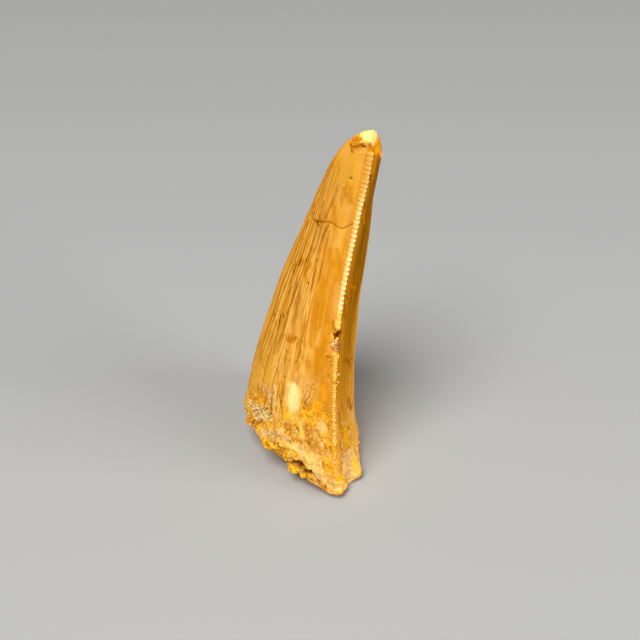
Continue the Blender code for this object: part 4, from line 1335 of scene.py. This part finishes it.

# Pale on the ridge of a denticle, golden at its ends and in the gaps as painted shade, and amber where it
# meets the blade.
tree, shader, place = open_finish(denticle_enamel)
way = along_axes(tree, kept(tree, "way", "Vector"))
ends = calc(tree, "ABSOLUTE", way[2])
up = along_axes(tree, place)[2]
wear = kept(tree, "wear")
pale = layered(
    tree, blend(tree, kept(tree, "tone"), colour(255, 224, 160), colour(251, 208, 130)),
    (YELLOW, ramp(tree, up, 23.4, 21.8), 0.7),
    (HONEY, ramp(tree, up, 36.0, 39.5, 0.0, 0.55)),
    (colour(236, 172, 64), wear, 0.85),
)
worn_ridge = speckled(tree, place, 0.7, 6.0, colour(240, 186, 90), GOLDEN, 0.42, 0.6, 4.0, 0.65)
# Painted shade in the gaps and on the keel. On worn rows the keel has its worn ridge's own colour.
gap_painted_shade_and_worn_ridge = blend(tree, wear, colour(248, 190, 96), worn_ridge)
inner = calc(tree, "ADD", way[0], ramp(tree, up, 33.0, 37.5, 0.0, 0.5))
shade = layered(
    tree, blend(tree, ramp(tree, ends, 0.45, 0.85), pale, gap_painted_shade_and_worn_ridge),
    (AMBER, ramp(tree, inner, 0.0, 0.8)),
    (STRIP_AMBER, ramp(tree, way[0], -0.5, -1.0, 0.0, 0.7)),
    (GOLDEN, ramp(tree, noise_field(tree, place, 0.8, 3.0, 4.0), 0.52, 0.7, 0.0, 0.4)),
)
tree.links.new(shade, shader.inputs["Base Color"])
rough = ramp(tree, noise_field(tree, place, 0.3, 5.0), 0.3, 0.7, 0.25, 0.45)
tree.links.new(rough, shader.inputs["Roughness"])
shader.inputs["Specular IOR Level"].default_value = 0.2
bumpy(tree, shader, noise_field(tree, place, 0.12, 8.0, 3.0), 0.5, 0.03)


# ---- Crust over the base ----------------------------------------------------------------------------
# Sandy, iron-stained sediment still clings round the broken base: knobbly lumps grown together, with smaller
# crumbs scattered up the crown. It is fused to the enamel and was never cleaned off. Each lump has its face,
# its place along it, its height and its radius.
CRUMBS = (
    (LABIAL, -0.45, 3.9, 1.15),
    (LABIAL, -0.60, 3.9, 1.00),
    (LABIAL, -0.66, 2.3, 0.85),
    (LABIAL, -0.77, 2.2, 0.75),
    (LABIAL, -0.38, 4.9, 0.85),
    (LABIAL, -0.53, 4.5, 0.80),
    (LABIAL, -0.43, 4.7, 0.42),
    (LABIAL, -0.50, 4.9, 0.46),
    (LABIAL, -0.50, 4.2, 0.48),
    (LABIAL, -0.57, 4.4, 0.44),
    (LABIAL, -0.59, 5.1, 0.40),
    (LABIAL, -0.64, 5.1, 0.42),
    (LABIAL, -0.67, 4.5, 0.46),
    (LABIAL, -0.05, 4.6, 1.30),
    (LABIAL, 0.55, 2.9, 1.10),
    (LINGUAL, -0.68, 1.2, 1.50),
    (LINGUAL, -0.50, 2.6, 1.00),
    (LINGUAL, 0.20, 1.9, 1.30),
    (LINGUAL, 0.70, 2.0, 1.10),
)
CRUMB_SINK = 0.72
CRUMB_KNOBS = 1.6
CRUMB_SHIFT = 3.1
CRUMB_ROUGHNESS = 0.5
CRUMB_FLATNESS = 0.8
CRUMB_LOWEST = 0.05
CRUMB_DETAIL = 4
CRUST_SIZES = {
    "Crumbs per mm2": 3.2,
    "Smallest": 0.10,
    "Largest": 0.30,
    "Sink": 0.1,
    "Grain": 0.07,
    "Roughness": 0.42,
}
CRUST_BAND = 0.3 * MM
CRUST_THRESHOLD = 0.1

lumps = bmesh.new()
for k, (side, crumb_along, crumb_height, radius) in enumerate(CRUMBS):
    where = (np.array([crumb_height / HEIGHT]), np.array([crumb_along]), np.array([side]))
    centre = Vector(crown_points(*where)[0] - crown_outward(*where)[0] * radius * CRUMB_SINK)
    for vert in bmesh.ops.create_icosphere(lumps, subdivisions=CRUMB_DETAIL, radius=1.0)["verts"]:
        shift = Vector((k * CRUMB_SHIFT, 0.0, 0.0))
        knob = 1 + CRUMB_ROUGHNESS * noise.noise(vert.co * CRUMB_KNOBS + shift)
        vert.co = centre + Vector((vert.co.x, vert.co.y, vert.co.z * CRUMB_FLATNESS)) * knob * radius
        vert.co.z = max(vert.co.z, CRUMB_LOWEST)
        vert.co *= MM
lump_mesh = bpy.data.meshes.new("base_crust")
lumps.to_mesh(lump_mesh)
lumps.free()
crust_piece = in_scene(lump_mesh)


def dotted(tree, host, density, seed):
    """Points strewn over the host's faces, this many to a square millimetre, with their turns and normals."""
    density = product(tree, density, 1 / MM**2)
    inputs = {"Mesh": host, "Density": density, "Seed": seed}
    return add_node(tree, "GeometryNodeDistributePointsOnFaces", inputs).outputs


sediment = bpy.data.materials.new("sandy_sediment")
crusting, size = new_tree("base_crust", CRUST_SIZES)
host = add_node(crusting, "GeometryNodeObjectInfo", {"Object": crown_piece}).outputs["Geometry"]
thick = ramp(crusting, attribute(crusting, "crumbly"), 0.25, 0.8)
near_rim = ramp(crusting, attribute(crusting, "above_rim"), 3.6, 0.6)
dots = dotted(crusting, host, product(crusting, thick, near_rim, size["Crumbs per mm2"]), 11)
ball = add_node(crusting, "GeometryNodeMeshIcoSphere", {"Radius": MM, "Subdivisions": 2}).outputs[0]
radius = chance(crusting, 12, size["Smallest"], size["Largest"])
sunk = scaled(crusting, dots["Normal"], calc(crusting, "MULTIPLY", size["Sink"], -MM))
seats = moved_by(crusting, dots["Points"], sunk)
crumbs = placed_on(crusting, seats, ball, dots["Rotation"], radius)
crumbs = add_node(crusting, "GeometryNodeRealizeInstances", {0: crumbs}).outputs[0]

# The lumps and crumbs grow together into one mass, and its skin is knobbly.
both = joined(crusting, crumbs, size["Geometry"])
grain_size = calc(crusting, "MULTIPLY", size["Grain"], MM)
volume = add_node(
    crusting, "GeometryNodeMeshToVolume",
    {"Mesh": both, "Voxel Size": grain_size, "Interior Band Width": CRUST_BAND},
    resolution_mode="VOXEL_SIZE",
).outputs[0]
grown = add_node(
    crusting, "GeometryNodeVolumeToMesh", {"Volume": volume, "Threshold": CRUST_THRESHOLD}
).outputs[0]
rough = calc(crusting, "SUBTRACT", noise_field(crusting, position_mm(crusting), 0.45, 21.0, 4.0, 0.65), 0.5)
knobs = raised(crusting, grown, product(crusting, rough, size["Roughness"]))
end_tree(crusting, add_node(crusting, "GeometryNodeSetShadeSmooth", {"Geometry": knobs}).outputs[0], sediment)
worked(crust_piece, crusting, CRUST_SIZES)
places = points_of(crust_piece) / MM
give(crust_piece, "scooped", scoop(places))
crust_piece.data.vertices.foreach_set("co", (places * MM).ravel())
stay_in_box(crust_piece)
give_strokes(crust_piece)
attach(crust_piece, "root")
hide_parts("tooth")

tree, shader, place = open_finish(sediment)
shade = speckled(tree, place, 0.9, 71.0, TAN, YELLOW, 0.42, 0.6, 5.0)
shade = speckled(tree, place, 0.35, 72.0, shade, RUST, 0.48, 0.64)
grainy = calc(tree, "SUBTRACT", noise_field(tree, place, 0.4, 73.0, 5.0, 0.7), 0.5)
# On the crust, the umber and dark strokes are partly painted shade in its crevices.
crust_paints = {
    "yellow": YELLOW, "bone": BONE, "chalk": CHALK, "rust": RUST, "umber": UMBER, "dark": DEEP_BROWN,
}
for name, paint in crust_paints.items():
    shade = layered(tree, shade, (paint, stained(tree, name, grainy, 4.0, 0.6), 0.85))
# Painted shade in the crust's hollows, darker the deeper they are.
shade = painted_hollow_shade(tree, shade, calc(tree, "ADD", kept(tree, "scooped"), product(tree, grainy, 0.6)))
shade = layered(
    tree, shade,
    (BROWN, ramp(tree, noise_field(tree, place, 0.2, 76.0, 3.0, 0.6), 0.52, 0.63, 0.0, 0.85)),
    (CREAM, ramp(tree, noise_field(tree, place, 0.14, 77.0, 3.0, 0.6), 0.62, 0.72, 0.0, 0.8)),
)
tree.links.new(shade, shader.inputs["Base Color"])
shader.inputs["Roughness"].default_value = 0.88
shader.inputs["Specular IOR Level"].default_value = 0.2
bumpy(tree, shader, noise_field(tree, place, 0.16, 78.0, 4.0, 0.7), 1.0, 0.08)


# ---- Pale flecks ------------------------------------------------------------------------------------
# Small chips of whitish calcite and golden enamel: splinters in the chip of the saw edge, lumps below it, a
# bump below the spalled tip and beads along the worn edge. Each is a ball pushed out of round, half sunk in
# the enamel, with a tint from 0, whitish, to 1, golden.
FLECKS = (
    ((0.22, -8.96, 19.49), 0.13, 0.0),
    ((0.03, -9.06, 19.36), 0.16, 0.0),
    ((-0.17, -9.13, 19.2), 0.16, 0.0),
    ((-0.32, -9.04, 18.96), 0.13, 0.0),
    ((0.14, -9.2, 19.12), 0.13, 0.5),
    ((0.34, -9.05, 19.2), 0.11, 0.5),
    ((0.11, -9.21, 18.76), 0.15, 0.4),
    ((0.38, -9.02, 18.68), 0.12, 0.5),
    ((-0.02, -9.29, 18.46), 0.14, 0.4),
    ((0.27, -9.1, 18.28), 0.12, 0.5),
    ((-0.1, -9.29, 18.08), 0.17, 1.0),
    ((0.13, -9.23, 17.76), 0.17, 1.0),
    ((-0.14, -9.31, 17.62), 0.15, 1.0),
    ((0.09, -9.26, 17.36), 0.16, 1.0),
    ((-0.15, -9.36, 17.08), 0.14, 1.0),
    ((-0.08, -9.47, 16.31), 0.12, 0.0),
    ((0.19, -9.31, 15.6), 0.11, 0.1),
    ((0.19, -9.32, 14.69), 0.11, 0.1),
    ((4.03, -8.86, 38.28), 0.2, 0.0),
)
FLECK_DETAIL = 4
FLECK_KNOBS = 1.3
FLECK_SHIFT = 2.7
FLECK_ROUGHNESS = 0.8
FLECK_FRACTAL = (0.8, 2.0, 4)
flecks = bmesh.new()
golden = flecks.verts.layers.float.new("golden")
for k, (centre, radius, tint) in enumerate(FLECKS):
    for vert in bmesh.ops.create_icosphere(flecks, subdivisions=FLECK_DETAIL, radius=1.0)["verts"]:
        spot = vert.co * FLECK_KNOBS + Vector((k * FLECK_SHIFT, 4.0, 0.0))
        knob = 1 + FLECK_ROUGHNESS * noise.fractal(spot, *FLECK_FRACTAL)
        vert.co = (Vector(centre) + vert.co * knob * radius) * MM
        vert[golden] = tint
fleck_mesh = bpy.data.meshes.new("pale_flecks")
flecks.to_mesh(fleck_mesh)
flecks.free()
fleck_mesh.shade_smooth()
fleck_piece = in_scene(fleck_mesh)
calcite = bpy.data.materials.new("pale_calcite")
fleck_mesh.materials.append(calcite)
tree, shader, place = open_finish(calcite)
tint = kept(tree, "golden")
half_golden = speckled(tree, place, 0.2, 94.0, colour(178, 116, 52), colour(132, 78, 26))
all_golden = speckled(tree, place, 0.3, 93.0, colour(255, 206, 70), HONEY)
shade = layered(
    tree, speckled(tree, place, 0.22, 90.0, colour(246, 198, 128), colour(208, 146, 76), 0.42, 0.6, 3.0, 0.6),
    (half_golden, ramp(tree, tint, 0.15, 0.5, 0.0, 0.85)),
    (all_golden, ramp(tree, tint, 0.6, 0.9)),
    (UMBER, ramp(tree, noise_field(tree, place, 0.12, 91.0, 3.0), 0.56, 0.68, 0.0, 0.8)),
)
tree.links.new(shade, shader.inputs["Base Color"])
shader.inputs["Roughness"].default_value = 0.55
shader.inputs["Specular IOR Level"].default_value = 0.2
bumpy(tree, shader, noise_field(tree, place, 0.07, 92.0, 2.0), 0.6, 0.03)
stay_in_box(fleck_piece)
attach(fleck_piece, "root")
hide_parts("tooth")


# ---- Sand grains ------------------------------------------------------------------------------------
# Loose-looking quartz and dark mineral grains are cemented on the crust, thickest in a speckled patch low on
# the convex face.
SAND_SIZES = {
    "Grains per mm2": 60.0,
    "Smallest": 0.035,
    "Largest": 0.09,
    "Stray": 0.02,
}
FULL_TURNS = (6.3, 6.3, 6.3)
grain_stone = bpy.data.materials.new("sand_grains")
sanding, size = new_tree("sand_grains", SAND_SIZES)
host = add_node(sanding, "GeometryNodeObjectInfo", {"Object": crown_piece}).outputs["Geometry"]
patch = ramp(sanding, attribute(sanding, "sand"), 1.9, 0.9)
stray = product(
    sanding, ramp(sanding, attribute(sanding, "crumbly"), 0.3, 0.9),
    ramp(sanding, attribute(sanding, "above_rim"), 0.1, 0.4), size["Stray"],
)
density = product(sanding, calc(sanding, "MAXIMUM", patch, stray), size["Grains per mm2"])
dots = dotted(sanding, host, density, 31)
ball = add_node(sanding, "GeometryNodeMeshIcoSphere", {"Radius": MM, "Subdivisions": 1}).outputs[0]
radius = chance(sanding, 32, size["Smallest"], size["Largest"])
turned = chance_way(sanding, 33, (0.0, 0.0, 0.0), FULL_TURNS)
grains = placed_on(sanding, dots["Points"], ball, turned, radius)
grains = stored(sanding, grains, "tone", chance(sanding, 34), domain="INSTANCE")
end_tree(sanding, grains, grain_stone)
sand_piece = mesh_object("sand_grains", np.zeros((1, 3)), [])
worked(sand_piece, sanding, SAND_SIZES)
stay_in_box(sand_piece)
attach(sand_piece, "root")
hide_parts("tooth")

tree, shader, place = open_finish(grain_stone)
tone = kept(tree, "tone")
shade = layered(
    tree, blend(tree, ramp(tree, tone, 0.16, 0.24), colour(92, 54, 8), colour(206, 156, 70)),
    (colour(255, 238, 178), ramp(tree, tone, 0.45, 0.52)),
    (YELLOW, ramp(tree, tone, 0.78, 0.8)),
    (RUST, ramp(tree, tone, 0.9, 0.92)),
    (SAND, ramp(tree, noise_field(tree, place, 0.05, 81.0, 2.0), 0.4, 0.7, 0.0, 0.5)),
)
tree.links.new(shade, shader.inputs["Base Color"])
tree.links.new(ramp(tree, tone, 0.0, 1.0, 0.7, 0.4), shader.inputs["Roughness"])
shader.inputs["Specular IOR Level"].default_value = 0.15
bumpy(tree, shader, noise_field(tree, place, 0.03, 82.0), 0.5, 0.01)


# ---- Studio -----------------------------------------------------------------------------------------
# A plain pale floor, one large soft light from above and a little to the left, a weaker one from the right,
# and a weak even surround. A light has its place, the width of its disc in metres and its power in watts.
FLOOR_SIZE = 2.0
FLOOR_SHADE = colour(166, 166, 164)
FLOOR_ROUGHNESS = 0.85
LIT_MIDDLE = (0.0, 0.0, 0.02)
SURROUND = (1, 1, 1, 1)
SURROUND_STRENGTH = 0.14
LIGHTS = (
    ("key_light", (-0.21, -0.27, 0.49), 0.3, 4.5),
    ("fill_light", (0.34, -0.36, 0.22), 0.4, 1.9),
)
bpy.ops.mesh.primitive_plane_add(size=FLOOR_SIZE)
floor = bpy.context.object
floor.name = "floor"
floor_finish = bpy.data.materials.new("pale_floor")
floor_finish.use_nodes = True
floor_shader = floor_finish.node_tree.nodes["Principled BSDF"]
floor_shader.inputs["Base Color"].default_value = FLOOR_SHADE
floor_shader.inputs["Roughness"].default_value = FLOOR_ROUGHNESS
floor.data.materials.append(floor_finish)
for name, place, diameter, power in LIGHTS:
    data = bpy.data.lights.new(name, "AREA")
    data.shape = "DISK"
    data.size = diameter
    data.energy = power
    light = in_scene(data)
    light.location = place
    light.rotation_euler = (Vector(LIT_MIDDLE) - Vector(place)).to_track_quat("-Z", "Y").to_euler()
world = bpy.data.worlds.new("surround")
bpy.context.scene.world = world
world.use_nodes = True
background = world.node_tree.nodes["Background"]
background.inputs["Color"].default_value = SURROUND
background.inputs["Strength"].default_value = SURROUND_STRENGTH
bpy.context.scene.view_settings.view_transform = "Standard"
